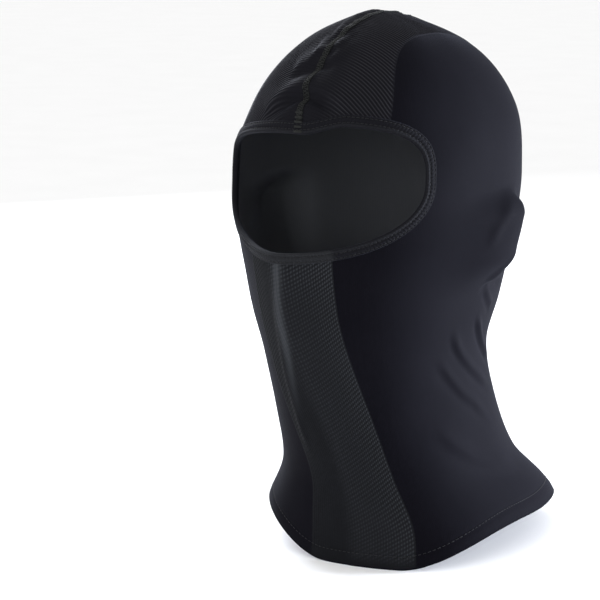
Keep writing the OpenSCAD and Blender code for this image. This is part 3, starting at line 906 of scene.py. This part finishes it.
def rib_panel(name, side):
    border_x, border_y, edge_points = rib_border(side)
    first, last = label_of(border_y[0]), label_of(border_y[-1])
    rows = 2 * int((last - first) / (RIB_PITCH / RIB_STEPS) / 2)
    label = np.linspace(first, last, rows + 1)
    y = np.interp(label, LABEL_MM, LABEL_Y)
    end_x = np.interp(y, border_y, border_x)
    end_x[0] = end_x[-1] = 0
    # The first row down the back is an even one, so that the backs of both patches meet
    split = int(np.searchsorted(y, border_y[edge_points - 1])) // 2 * 2
    end_x[split] = border_x[edge_points - 1]
    y[split] = border_y[edge_points - 1]
    half = WIDEST[2] * np.sqrt(np.maximum(1e-4, 1 - ((y - WIDEST[1]) / (WIDEST[4] + 1)) ** 2))
    swing = np.arcsin(np.clip(end_x / np.maximum(half, end_x + 0.01), 0, 0.98))
    m = np.linspace(0, 1, CROWN_COLS + 1)
    share = np.sin(swing[:, None] * m) / np.maximum(np.sin(swing), 1e-6)[:, None]
    x = side * end_x[:, None] * share
    th, z = crown_height(x, np.broadcast_to(y[:, None], x.shape))
    th = np.where(np.abs(x) < 1e-6, np.where(y[:, None] > WIDEST[1], side * 180.0, 0.0), th)
    z[split:, -1] = CROWN_Z
    gone = np.linalg.norm(np.diff(head_point(th, z), axis=1), axis=-1)
    course = np.concatenate([np.zeros((len(y), 1)), np.cumsum(gone, axis=1)], axis=1)
    left = course[:, -1:] - course
    fade = ease(0.2, 2.0, np.where(np.arange(len(y))[:, None] < split, left, 9))
    # Beside the seam the knit is slack: its ribs lie flatter and hardly show
    slack = 1 - 0.65 * (1 - ease(7, 24, np.abs(x))) * (1 - ease(-95, -60, y))[:, None]
    tall = rib_height(label)[:, None] * fade * slack
    face, back = skins(th, z, tall)
    # The ribs' crests are painted lighter than their grooves: a painted highlight, with painted shade in the
    # grooves
    painted_crest_highlight = np.clip(tall / (0.6 * RIB_HEIGHT), 0, 1) ** 2 * fade * slack
    wale = np.broadcast_to(label[:, None], x.shape)
    cloth = Cloth()
    cloth.patch(face, back, np.stack([wale, course, painted_crest_highlight * 0.55], axis=-1),
                [("first", 0, None), ("last", 0, split)])
    # Down the back: one column for each row that ended on the widest line
    f = np.linspace(1, 0, BACK_STEPS + 1)[:, None]
    top_th = th[split:, -1]
    v = end_x[split:] / RIB_W
    down_th, down_z = back_line(side, v[None, :], f, (180 - np.abs(top_th))[None, :])
    down_th[0], down_z[0] = top_th, CROWN_Z
    fade = ease(0.2, 2.0, (1 - v[None, :]) * RIB_W)
    deep = np.broadcast_to(rib_height(label[split:])[None, :], down_z.shape)
    softer = mix(1.0, 0.75, ease(0, 60, CROWN_Z - down_z))
    flat = ease(2, 14, down_z - hem_z(down_th))
    tall = deep * fade * softer * flat
    tall[0] = rib_height(label[split:])
    face, back = skins(down_th, down_z, tall + hem_puff(down_th, down_z))
    # Down the back the ribs' crests are painted lighter too: a painted highlight
    painted_crest_highlight = np.clip(tall / (0.6 * RIB_HEIGHT), 0, 1) ** 2
    wale = np.broadcast_to(label[split:][None, :], down_z.shape)
    course = left[split:, 0][None, :] + CROWN_Z - down_z
    cloth.patch(face, back, np.stack([wale, course, painted_crest_highlight * 0.55], axis=-1),
                [("top", 0, None), ("first", 0, None), ("last", 0, None)])
    piece = cloth.piece(name, [BLACK_RIB, REVERSE_KNIT])
    return piece


left_rib = rib_panel("left_rib_cloth", 1)
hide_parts("left_rib_panel")
right_rib = rib_panel("right_rib_cloth", -1)
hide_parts("right_rib_panel")

# %% [markdown]
# ## The mesh panel
# The panel over the mouth is knitted with tuck stitches, so that it stays open and breath passes.
# Each tuck is a small light dot between two wales, and the dots climb in diagonal rows. They could
# be a texture. They are low bumps of a fine grid here, and the same numbers lighten the yarn, so
# that shape and colour can't drift apart.
# %% Mesh panel
MESH_WALES = 40
MESH_COURSE = 2.4
MESH_COLS, MESH_ROWS = MESH_WALES * 5, 440
TUCK_HIGH = 0.16


def tucks(across, along):
    """1 in the middle of a tuck loop and 0 between them, on rows that climb to one side."""
    slip = -0.38 * across
    dx = (across + 0.5) % 1 - 0.5
    dy = (along + slip + 0.5) % 1 - 0.5
    return np.exp(-((dx / 0.3) ** 2) - (dy / 0.24) ** 2)


def mesh_panel():
    f, u = np.meshgrid(np.linspace(0, 1, MESH_ROWS + 1), np.linspace(-1, 1, MESH_COLS + 1),
                       indexing="ij")
    th, z = mesh_spot(u, f)
    across = (u + 1) / 2 * MESH_WALES
    along = z / MESH_COURSE
    fade = ease(0.0, 0.8, across) * (1 - ease(MESH_WALES - 0.8, MESH_WALES, across)) * ease(0, 0.04, f)
    dot = tucks(across, along)
    wale = 0.5 + 0.5 * np.cos(2 * np.pi * (across + 0.5))
    tall = (0.1 * (1 - wale) + TUCK_HIGH * dot) * fade
    turn = wrap(th + lean(z))
    # A painted highlight runs down the ridge. The dots are real, but their lightening only from the middle
    # to the wearer's left, and more towards the left edge and the top, is painted light. Both are matched
    # to one view: a real panel most likely has dots all over, and no lighter streak down the ridge
    painted_ridge_highlight = np.exp(-(((turn + 0.4 + 5 * (1 - ease(80, 150, z))) / 1.3) ** 2)) * ease(80, 150, z)
    dot_tone_and_painted_light = 0.4 + 0.4 * ease(160, 190, z) + 0.4 * ease(0.3, 1.0, u)
    front = ease(-0.35, 0.0, u)
    light = (0.85 * painted_ridge_highlight + (0.05 + dot_tone_and_painted_light * dot) * front) * fade
    face, back = skins(th, z, tall + hem_puff(th, z))
    knit = np.stack([across * 1.5, z, np.clip(light, 0, 1)], axis=-1)
    cloth = Cloth()
    cloth.patch(face, back, knit, ALL_EDGES)
    return cloth.piece("front_mesh_cloth", [GREY_MESH, REVERSE_KNIT])


front_mesh = mesh_panel()
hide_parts("front_mesh_panel")

# %% [markdown]
# ## The folded edge of the face opening
# The edge is the knit itself, turned over an elastic and stitched down in two rows. A curve with a
# bevel could stand for it. It is a ring swept through an outline here, so it keeps its flat leaf, its
# round roll and the two grooves of the stitches, and each wale shows across it as a small rib.
# %% Outline and sweep of rings
def ring_piece(name, th, z, height, knit, look):
    """Closed ring: grids of spots and heights, one row for each step round and one column for each
    point of the outline."""
    points = over(th, z, height)
    n, m = points.shape[:2]
    ids = np.arange(n * m).reshape(n, m)
    ids = np.vstack([ids, ids[:1]])
    ids = np.hstack([ids, ids[:, :1]])
    piece = new_piece(name, points.reshape(-1, 3), grid_faces(ids).tolist(), [look], knit.reshape(-1, 3))
    area = sum(p.area for p in piece.data.polygons) / 2
    print(name, n, "steps round,", round(area, 5), "square metres")
    return piece


# Pairs of distance from the rim and height over the knit, from the outer leaf's edge round the roll
FOLD_OUTLINE = [
    (6.0, 0.05), (6.05, 0.6), (5.85, 0.95), (5.5, 1.1), (5.15, 1.0), (4.85, 0.72), (4.55, 0.98),
    (4.15, 1.16), (3.6, 1.18), (3.0, 1.1), (2.55, 0.98), (2.2, 0.78), (1.95, 0.7), (1.7, 0.86),
    (1.35, 1.18), (0.95, 1.38), (0.55, 1.34), (0.2, 1.08), (-0.05, 0.6), (-0.15, 0.0), (-0.12, -0.65),
    (0.05, -1.25), (0.4, -1.75), (0.9, -2.05), (1.6, -2.1), (2.6, -2.05), (4.0, -2.05), (5.6, -2.05),
    (6.0, -1.85), (6.0, -1.3), (4.0, -1.3), (1.6, -1.3), (1.05, -0.9), (0.95, -0.4), (1.15, -0.02),
    (1.8, 0.05), (4.0, 0.05),
]
RIM_RIB_STEPS = 8
ARC_TURNS = np.arange(0, 360.01, 0.5)
ARC_TH, ARC_Z = rim(ARC_TURNS, 3.0)
RIM_WALE = 1.9


def length_along(points):
    """How far along a line of points each one is."""
    return np.concatenate([[0], np.cumsum(np.linalg.norm(np.diff(points, axis=0), axis=1))])


ARC_MM = length_along(knit_point(ARC_TH, ARC_Z))
RIM_MM = float(ARC_MM[-1])
RIM_RIBS = round(RIM_MM / RIM_WALE)
print("the rim is", round(RIM_MM, 1), "mm round, with", RIM_RIBS, "wales")


def rim_turn(mm):
    """Angle on the opening's curve after a length round it."""
    return np.interp(np.mod(mm, RIM_MM), ARC_MM, ARC_TURNS)


# %% The folded edge
def folded_edge():
    count = RIM_RIBS * RIM_RIB_STEPS
    along = np.arange(count) / count * RIM_MM
    outline = np.array(FOLD_OUTLINE)
    t = rim_turn(along)[:, None]
    th, z = rim(t, outline[None, :, 0])
    wave = np.cos(2 * np.pi * np.arange(count) / RIM_RIB_STEPS)[:, None]
    shown = ease(-0.6, 0.4, outline[:, 1]) * ease(6.1, 5.6, outline[:, 0])
    height = outline[None, :, 1] + 0.09 * wave * shown[None, :]
    # Over the mesh panel the edge is knitted in the mesh panel's grey
    grey = (1 - ease(MESH_TURN - 1.5, MESH_TURN + 1.5, np.abs(t - 270))) * np.ones((1, len(outline)))
    # The top of the roll is painted lighter: a painted highlight. The grey over the mesh panel is the yarn's
    # own colour
    roll = np.exp(-(((outline[None, :, 0] - 0.7) / 0.9) ** 2)) * (outline[None, :, 1] > 0.3)
    grey_yarn_and_highlight = np.clip(grey * 0.85 + 0.35 * roll, 0, 1)
    along, across = np.broadcast_arrays(along[:, None], 3 * outline[None, :, 0])
    place = np.stack([along, across, grey_yarn_and_highlight], axis=-1)
    return ring_piece("folded_edge", th, z, height, place, FOLDED_EDGE)


binding = folded_edge()
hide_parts("face_binding")

# %% [markdown]
# ## The elastic inside the fold
# It can't be seen, but it is what holds the rim to the face, so it is in the model: a cord with the
# slight spiral of its wrapping yarn.
# %% Elastic
def elastic_cord():
    count, sides = 600, 10
    along = np.arange(count) / count * RIM_MM
    a = np.arange(sides) / sides * 2 * np.pi
    swell = 0.5 + 0.035 * np.cos(3 * a[None, :] - along[:, None] * 2 * np.pi / (RIM_MM / 150))
    th, z = rim(rim_turn(along)[:, None], 0.42 + swell * np.cos(a)[None, :])
    height = -0.3 + swell * np.sin(a)[None, :]
    place = np.stack([np.broadcast_to(along[:, None], th.shape), th * 0, th * 0], axis=-1)
    return ring_piece("elastic_in_the_fold", th, z, height, place, ELASTIC_WRAP)


elastic = elastic_cord()
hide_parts("face_elastic")

# %% [markdown]
# ## Stitches
# A stitch is a short bridge of thread: it rises out of the cloth, lies on it and dives back in.
# Hundreds are needed, so one function sweeps all the threads of a seam into one mesh.
# %% Threads
THREAD_SIDES = 7


def threads(name, paths, ups, radius, look):
    """Tubes along many paths at once. paths and ups are (count, points, 3), in millimetres."""
    along = unit(np.gradient(paths, axis=1))
    side = unit(np.cross(along, ups))
    up = np.cross(side, along)
    a = np.arange(THREAD_SIDES) / THREAD_SIDES * 2 * np.pi
    t = np.linspace(-1, 1, paths.shape[1])
    thick = radius * np.sqrt(np.maximum(0.12, 1 - np.abs(t) ** 8))
    ring = side[:, :, None] * np.cos(a)[:, None] + up[:, :, None] * np.sin(a)[:, None]
    points = paths[:, :, None] + ring * thick[None, :, None, None]
    count, n = paths.shape[:2]
    ids = np.arange(count * n * THREAD_SIDES).reshape(count, n, THREAD_SIDES)
    around = np.concatenate([ids, ids[:, :, :1]], axis=2)
    faces = [f for one in around for f in grid_faces(one).tolist()]
    faces += ids[:, 0, ::-1].tolist() + ids[:, -1].tolist()
    piece = new_piece(name, points.reshape(-1, 3), faces, [look])
    print(name, "has", count, "threads")
    return piece


def bridges(th, z, rise, sink=-0.1, points=7):
    """Paths of stitches between pairs of spots: th and z are (count, 2)."""
    t = np.linspace(0, 1, points)[None, :]
    line_th = mix(th[:, :1], th[:, 1:], t)
    line_z = mix(z[:, :1], z[:, 1:], t)
    high = sink + (rise - sink) * np.sqrt(np.maximum(0, 1 - np.abs(2 * t - 1) ** 3))
    return over(line_th, line_z, high), out_of(line_th, line_z)


def joined(bundles):
    """The paths and the up directions of several bundles of stitches, each put together."""
    return [np.vstack(part) for part in zip(*bundles)]


# %% Two rows on the folded edge
def edge_stitches():
    rows = []
    for d, surface in ((4.85, 0.72), (1.95, 0.7)):
        count = int(RIM_MM / 2.5)
        start = (np.arange(count) + (0.5 if d < 3 else 0.0)) * RIM_MM / count
        ends = np.stack([start + 0.2, start + 2.2], axis=1)
        th, z = rim(rim_turn(ends), d)
        rows.append(bridges(th, z, surface + 0.26, surface - 0.1))
    return threads("edge_stitches", *joined(rows), 0.22, SEWING_THREAD)


rim_threads = edge_stitches()
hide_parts("binding_stitches")

# %% [markdown]
# ## The centre seam
# The two halves meet edge to edge and a flat seam covers the join: a soft band with a thread that
# zigzags across it, held by a row of needle stitches on each side. The band is a grid along the
# seam's line, and it rises and falls with the puckers, because it asks the same relief.
# %% Line of the seam
SEAM_W = 4.5
SEAM_CROWN_STEPS, SEAM_BACK_STEPS = 640, 420
CROWN_RADIUS = 84.0
LEVEL_Z = 296
ZIGZAG_PITCH, NEEDLE_PITCH, SEAM_END = 1.5, 2.6, 2
SEAM_THREAD_R = 0.2


def seam_line():
    """Spots down the middle of the seam, one for each half millimetre or so."""
    start = float(rim(SEAM_TURN, BINDING_W - 0.6)[1])
    low_y = float(head_point(0.0, start)[1] - crown_shift(start))
    y = np.linspace(low_y, float(head_point(180.0, CROWN_Z)[1]), 4000)
    label = label_of(y)
    y = np.interp(np.linspace(label[0], label[-1], SEAM_CROWN_STEPS), label, y)
    z = crown_height(np.zeros(len(y)), y)[1]
    th = np.where(y > WIDEST[1], 180.0, 0.0)
    down = np.linspace(CROWN_Z, float(foot(180.0)) + 0.4, SEAM_BACK_STEPS)[1:]
    return np.concatenate([th, np.full(len(down), 180.0)]), np.concatenate([z, down])


SEAM_TH, SEAM_Z = seam_line()


def beside_seam(i, across, height):
    """Points beside the seam's line. i and across are grids of the same shape."""
    th, z = SEAM_TH[i], SEAM_Z[i]
    base = knit_point(th, z)
    before, after = np.maximum(i - 1, 0), np.minimum(i + 1, len(SEAM_TH) - 1)
    run = unit(knit_point(SEAM_TH[after], SEAM_Z[after]) - knit_point(SEAM_TH[before], SEAM_Z[before]))
    up = out_of(th, z)
    side = unit(np.cross(run, up))
    flat = base + side * across[..., None]
    # The relief and the fall of the skin beside the line, from the spot that lies under the point
    centre = head_rows(z)[0]
    turn = np.degrees(np.arctan2(flat[..., 0], centre - flat[..., 1]))
    high = z > LEVEL_Z
    own_th = np.where(high, th, wrap(turn - lean(z)))
    drop = -(across**2) / (2 * CROWN_RADIUS)
    low = over(own_th, z, height)
    level = flat + up * (relief(th, z) + height + drop)[..., None]
    return np.where(high[..., None], level, low)


SEAM_MM = length_along(knit_point(SEAM_TH, SEAM_Z))
print("the seam is", round(float(SEAM_MM[-1]), 1), "mm long")


# %% The band of the seam
def seam_band():
    i, j = np.meshgrid(np.arange(len(SEAM_TH)), np.arange(13), indexing="ij")
    share = j / 12 * 2 - 1
    across = share * SEAM_W / 2
    crown = 0.42 * (1 - share**6) + 0.05
    crown -= 0.14 * np.exp(-(((np.abs(share) - 0.72) / 0.14) ** 2))
    crown += 0.05 * np.cos(SEAM_MM[i] * 2 * np.pi / 1.5 + np.pi * (share > 0)) * (1 - share**2)
    face = beside_seam(i, across, crown)
    back = beside_seam(i, across, np.full(crown.shape, -0.5))
    knit = np.stack([across + 5, SEAM_MM[i], 0 * across], axis=-1)
    cloth = Cloth()
    odd = len(face) // 2 * 2 - 1
    cloth.patch(face[:odd], back[:odd], knit[:odd], ALL_EDGES)
    return cloth.piece("flat_seam_band", [SEAM_KNIT, SEAM_KNIT])


seam = seam_band()
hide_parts("centre_seam")


# %% The threads of the seam
def along_seam(mm):
    """Number of the nearest point of the seam's line after a length along it."""
    return np.round(np.interp(mm, SEAM_MM, np.arange(len(SEAM_MM)))).astype(int)


def seam_threads():
    paths, ups = [], []
    length = float(SEAM_MM[-1]) - 2 * SEAM_END
    t = np.linspace(0, 1, 9)
    for k in range(int(length / ZIGZAG_PITCH)):
        for way in (1, -1):
            mm = SEAM_END + (k + 0.5 * t + (0.5 if way < 0 else 0)) * ZIGZAG_PITCH
            i = along_seam(mm)
            across = way * mix(-1, 1, t) * SEAM_W * 0.36
            paths.append(beside_seam(i, across, 0.46 + 0.12 * np.sin(np.pi * t)))
            ups.append(out_of(SEAM_TH[i], SEAM_Z[i]))
    zigzag = len(paths)
    for side in (-1, 1):
        for k in range(int(length / NEEDLE_PITCH)):
            mm = SEAM_END + (k + 0.08 + 0.84 * t) * NEEDLE_PITCH
            i = along_seam(mm)
            high = 0.28 + 0.24 * np.sqrt(np.maximum(0, 1 - np.abs(2 * t - 1) ** 3))
            paths.append(beside_seam(i, np.full(len(t), side * SEAM_W * 0.37), high))
            ups.append(out_of(SEAM_TH[i], SEAM_Z[i]))
    print(zigzag, "zigzag threads across the seam")
    return threads("seam_threads", np.array(paths), np.array(ups), SEAM_THREAD_R, SEAM_THREAD)


seam_sewing = seam_threads()
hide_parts("seam_stitches")

# %% [markdown]
# ## Bartacks
# Where a seam ends, a sewing machine locks it with a bartack: a few dense bars of thread. At the
# brow they climb from the rim over the folded edge on to the seam, and at the hem they are inside.
# %% Bartacks
def bar(th, z_mid, half_deg, tall, height, count):
    """One bar: threads side by side, a little uneven, round a height."""
    z = z_mid + (np.arange(count) / max(count - 1, 1) - 0.5) * tall
    jitter = 0.12 * np.sin(np.arange(count) * 2.4)
    ends_th = np.stack([th - half_deg * (1 + jitter), th + half_deg * (1 - jitter)], axis=1)
    ends_z = np.stack([z, z], axis=1)
    return bridges(ends_th, ends_z, height, height - 0.35, points=9)


def front_bartack():
    bars = []
    for d, height in [(0.75, 1.6), (3.3, 1.45), (5.9, 1.35), (8.5, 0.75), (11.1, 0.7)]:
        bars.append(bar(0.0, float(rim(SEAM_TURN, d)[1]), 1.62, 0.85, height, 4))
    return threads("brow_bartack", *joined(bars), SEAM_THREAD_R, SEAM_THREAD)


def back_bartack():
    bars = [bar(180.0, 12.0 + i * 1.3, 1.4, 0.6, -KNIT_T - 0.75, 3) for i in range(4)]
    return threads("hem_bartack", *joined(bars), 0.2, SEWING_THREAD)


front_tack = front_bartack()
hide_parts("front_bartack")
back_tack = back_bartack()
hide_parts("back_bartack")

# %% [markdown]
# ## The turned hem
# The bottom edge is folded up inside and stitched once round. It is a ring like the folded edge: a
# round fold below the panels, and a leaf that lies against their back.
# %% Hem
HEM_OUTLINE = [
    (1.45, -0.12), (0.85, 0.06), (0.35, 0.0), (0.08, -0.35), (0.0, -0.95), (0.05, -1.6), (0.35, -2.2),
    (0.9, -2.5), (2.0, -2.55), (4.5, -2.55), (7.6, -2.5), (9.4, -2.55), (9.9, -2.35), (10.0, -1.95),
    (9.6, -1.75), (7.6, -1.7), (4.5, -1.7), (2.0, -1.65), (1.4, -1.3), (1.3, -0.7),
]
HEM_STEPS = 720


def turned_hem():
    outline = np.array(HEM_OUTLINE)
    th = (np.arange(HEM_STEPS) / HEM_STEPS * 360 - 180)[:, None] + 0 * outline[None, :, 0]
    z = hem_z(th) + outline[None, :, 0]
    wavy = 0.05 * np.sin(np.radians(th) * 96) * (outline[None, :, 1] < -1)
    place = np.stack([np.radians(th) * 90, outline[None, :, 0] * 2 + 0 * th, 0 * th], axis=-1)
    return ring_piece("turned_hem", th, z, outline[None, :, 1] + wavy, place, HEM_KNIT)


hem = turned_hem()
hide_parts("hem_band")


def hem_sewing():
    count = 200
    start = -178.3 + np.arange(count) * 356.6 / count
    ends = np.stack([start + 0.15, start + 1.45], axis=1)
    p, u = bridges(ends, hem_z(ends) + HEM_STITCH_Z, -0.02, -0.45)
    return threads("hem_stitching", p, u, 0.2, SEWING_THREAD)


hem_threads = hem_sewing()
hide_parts("hem_stitches")

# %% [markdown]
# ## The label
# A folded ribbon of satin is sewn inside the back of the neck. It is blank. Its loop is a little
# thicker at the bottom fold, and its free end lifts off the cloth.
# %% Label
# The label follows the flared neck, so 24 mm of height takes about 31 mm of ribbon
LABEL_Z, LABEL_H, LABEL_T, LABEL_DEG = 18.0, 24.0, 0.62, 9.0


def blank_label():
    k, j = np.meshgrid(np.linspace(0, 1, 41), np.linspace(-1, 1, 33), indexing="ij")
    th, z = 180 + j * LABEL_DEG, LABEL_Z + LABEL_H * k
    lift = 1.6 * (1 - k) ** 2.2 * (1 - 0.35 * j**2)
    fat = LABEL_T * (1 + 0.5 * np.exp(-((k / 0.06) ** 2)))
    face = over(th, z, -KNIT_T - 0.75 - lift)
    back = over(th, z, -KNIT_T - 0.75 - lift - fat)
    place = np.stack([j * 14, k * LABEL_H, 0 * k], axis=-1)
    cloth = Cloth()
    cloth.patch(face, back, place, ALL_EDGES)
    return cloth.piece("blank_neck_label", [LABEL_SATIN, LABEL_SATIN])


label_piece = blank_label()
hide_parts("care_label")

# %% [markdown]
# ## Cloth facts
# On the head the big panels are stretched by a fifth to a third in area.
# %% Sheets
print("sheets: sides, ribs, mesh, folded edge, hem, seam band and label")

# %% [markdown]
# ## Studio
# Black cloth needs soft light from all round, or its folds vanish. A white world gives that. A
# small low box with a grid, behind on the wearer's left, grazes the neck's folds. A large high one
# behind on the right draws the far edge. A weak key beside the camera opens the face. The floor is
# pale paper.
# %% World and lights
def studio_world(strength):
    world = bpy.data.worlds.new("white studio")
    world.use_nodes = True
    tree = world.node_tree
    back = tree.nodes["Background"]
    back.inputs["Color"].default_value = (1, 1, 1, 1)
    seen = add_node(tree, "ShaderNodeLightPath")
    level = add_node(tree, "ShaderNodeMapRange")
    level.inputs["To Min"].default_value, level.inputs["To Max"].default_value = strength, 1.05
    tree.links.new(seen.outputs["Is Camera Ray"], level.inputs["Value"])
    tree.links.new(level.outputs["Result"], back.inputs["Strength"])
    bpy.context.scene.world = world


def soft_box(name, place, target, size, power, colour=(1, 1, 1), spread=180):
    """A soft box. spread, in degrees, is how far a grid on it lets its light go."""
    lamp = bpy.data.lights.new(name, "AREA")
    lamp.spread = math.radians(spread)
    lamp.shape = "RECTANGLE"
    lamp.size, lamp.size_y = size
    lamp.energy = power
    lamp.color = colour
    box = bpy.data.objects.new(name, lamp)
    box.location = place
    box.rotation_mode = "QUATERNION"
    box.rotation_quaternion = (Vector(target) - Vector(place)).to_track_quat("-Z", "Y")
    bpy.context.scene.collection.objects.link(box)
    return box


FLOOR_HALF, FLOOR_Z = 6.0, -0.0004


def paper_floor():
    look, tree, shader = new_look("pale paper")
    grain = add_node(tree, "ShaderNodeTexNoise")
    grain.inputs["Scale"].default_value = 140
    shade = two_tones(tree, (0.93, 0.93, 0.93), (0.97, 0.97, 0.97), grain.outputs["Fac"])
    tree.links.new(shade, shader.inputs["Base Color"])
    shader.inputs["Roughness"].default_value = 0.9
    shader.inputs["Specular IOR Level"].default_value = 0.1
    mesh = bpy.data.meshes.new("floor")
    corners = [(FLOOR_HALF * x, FLOOR_HALF * y, FLOOR_Z) for x, y in ((-1, -1), (1, -1), (1, 1), (-1, 1))]
    mesh.from_pydata(corners, [], [(0, 1, 2, 3)])
    mesh.materials.append(look)
    floor = bpy.data.objects.new("floor", mesh)
    bpy.context.scene.collection.objects.link(floor)


studio_world(1.0)
soft_box("rear_left_box", (0.95, 0.75, 0.16), (0.03, -0.02, 0.09), (0.35, 0.35), 5.5, (0.82, 0.87, 1.0), 50)
soft_box("rear_right_box", (-1.0, 0.6, 0.7), (0, -0.05, 0.24), (0.5, 0.8), 22, (0.86, 0.9, 1.0))
soft_box("key_box", (0.2, -1.48, 0.5), (0, -0.033, 0.2), (0.8, 0.8), 9)
paper_floor()

# %% Camera
AZIMUTH, ELEVATION = math.radians(35), math.radians(11)
DISTANCE, LENS, SENSOR = 1.33, 133.4, 36.0
ASIDE = 0.046

right = Vector((math.cos(AZIMUTH), math.sin(AZIMUTH), 0))
back = Vector((math.sin(AZIMUTH) * math.cos(ELEVATION), -math.cos(AZIMUTH) * math.cos(ELEVATION),
               math.sin(ELEVATION)))
lens = bpy.data.cameras.new("camera")
lens.sensor_width, lens.lens = SENSOR, LENS
lens.clip_start, lens.clip_end = 0.05, 50
camera = bpy.data.objects.new("camera", lens)
camera.location = Vector((0, -0.033, 0.15)) - right * ASIDE + back * DISTANCE
camera.rotation_mode = "QUATERNION"
camera.rotation_quaternion = (-back).to_track_quat("-Z", "Y")
bpy.context.scene.collection.objects.link(camera)
bpy.context.scene.camera = camera
bpy.context.scene.view_settings.view_transform = "Standard"
print("camera at", [round(v, 3) for v in camera.location])
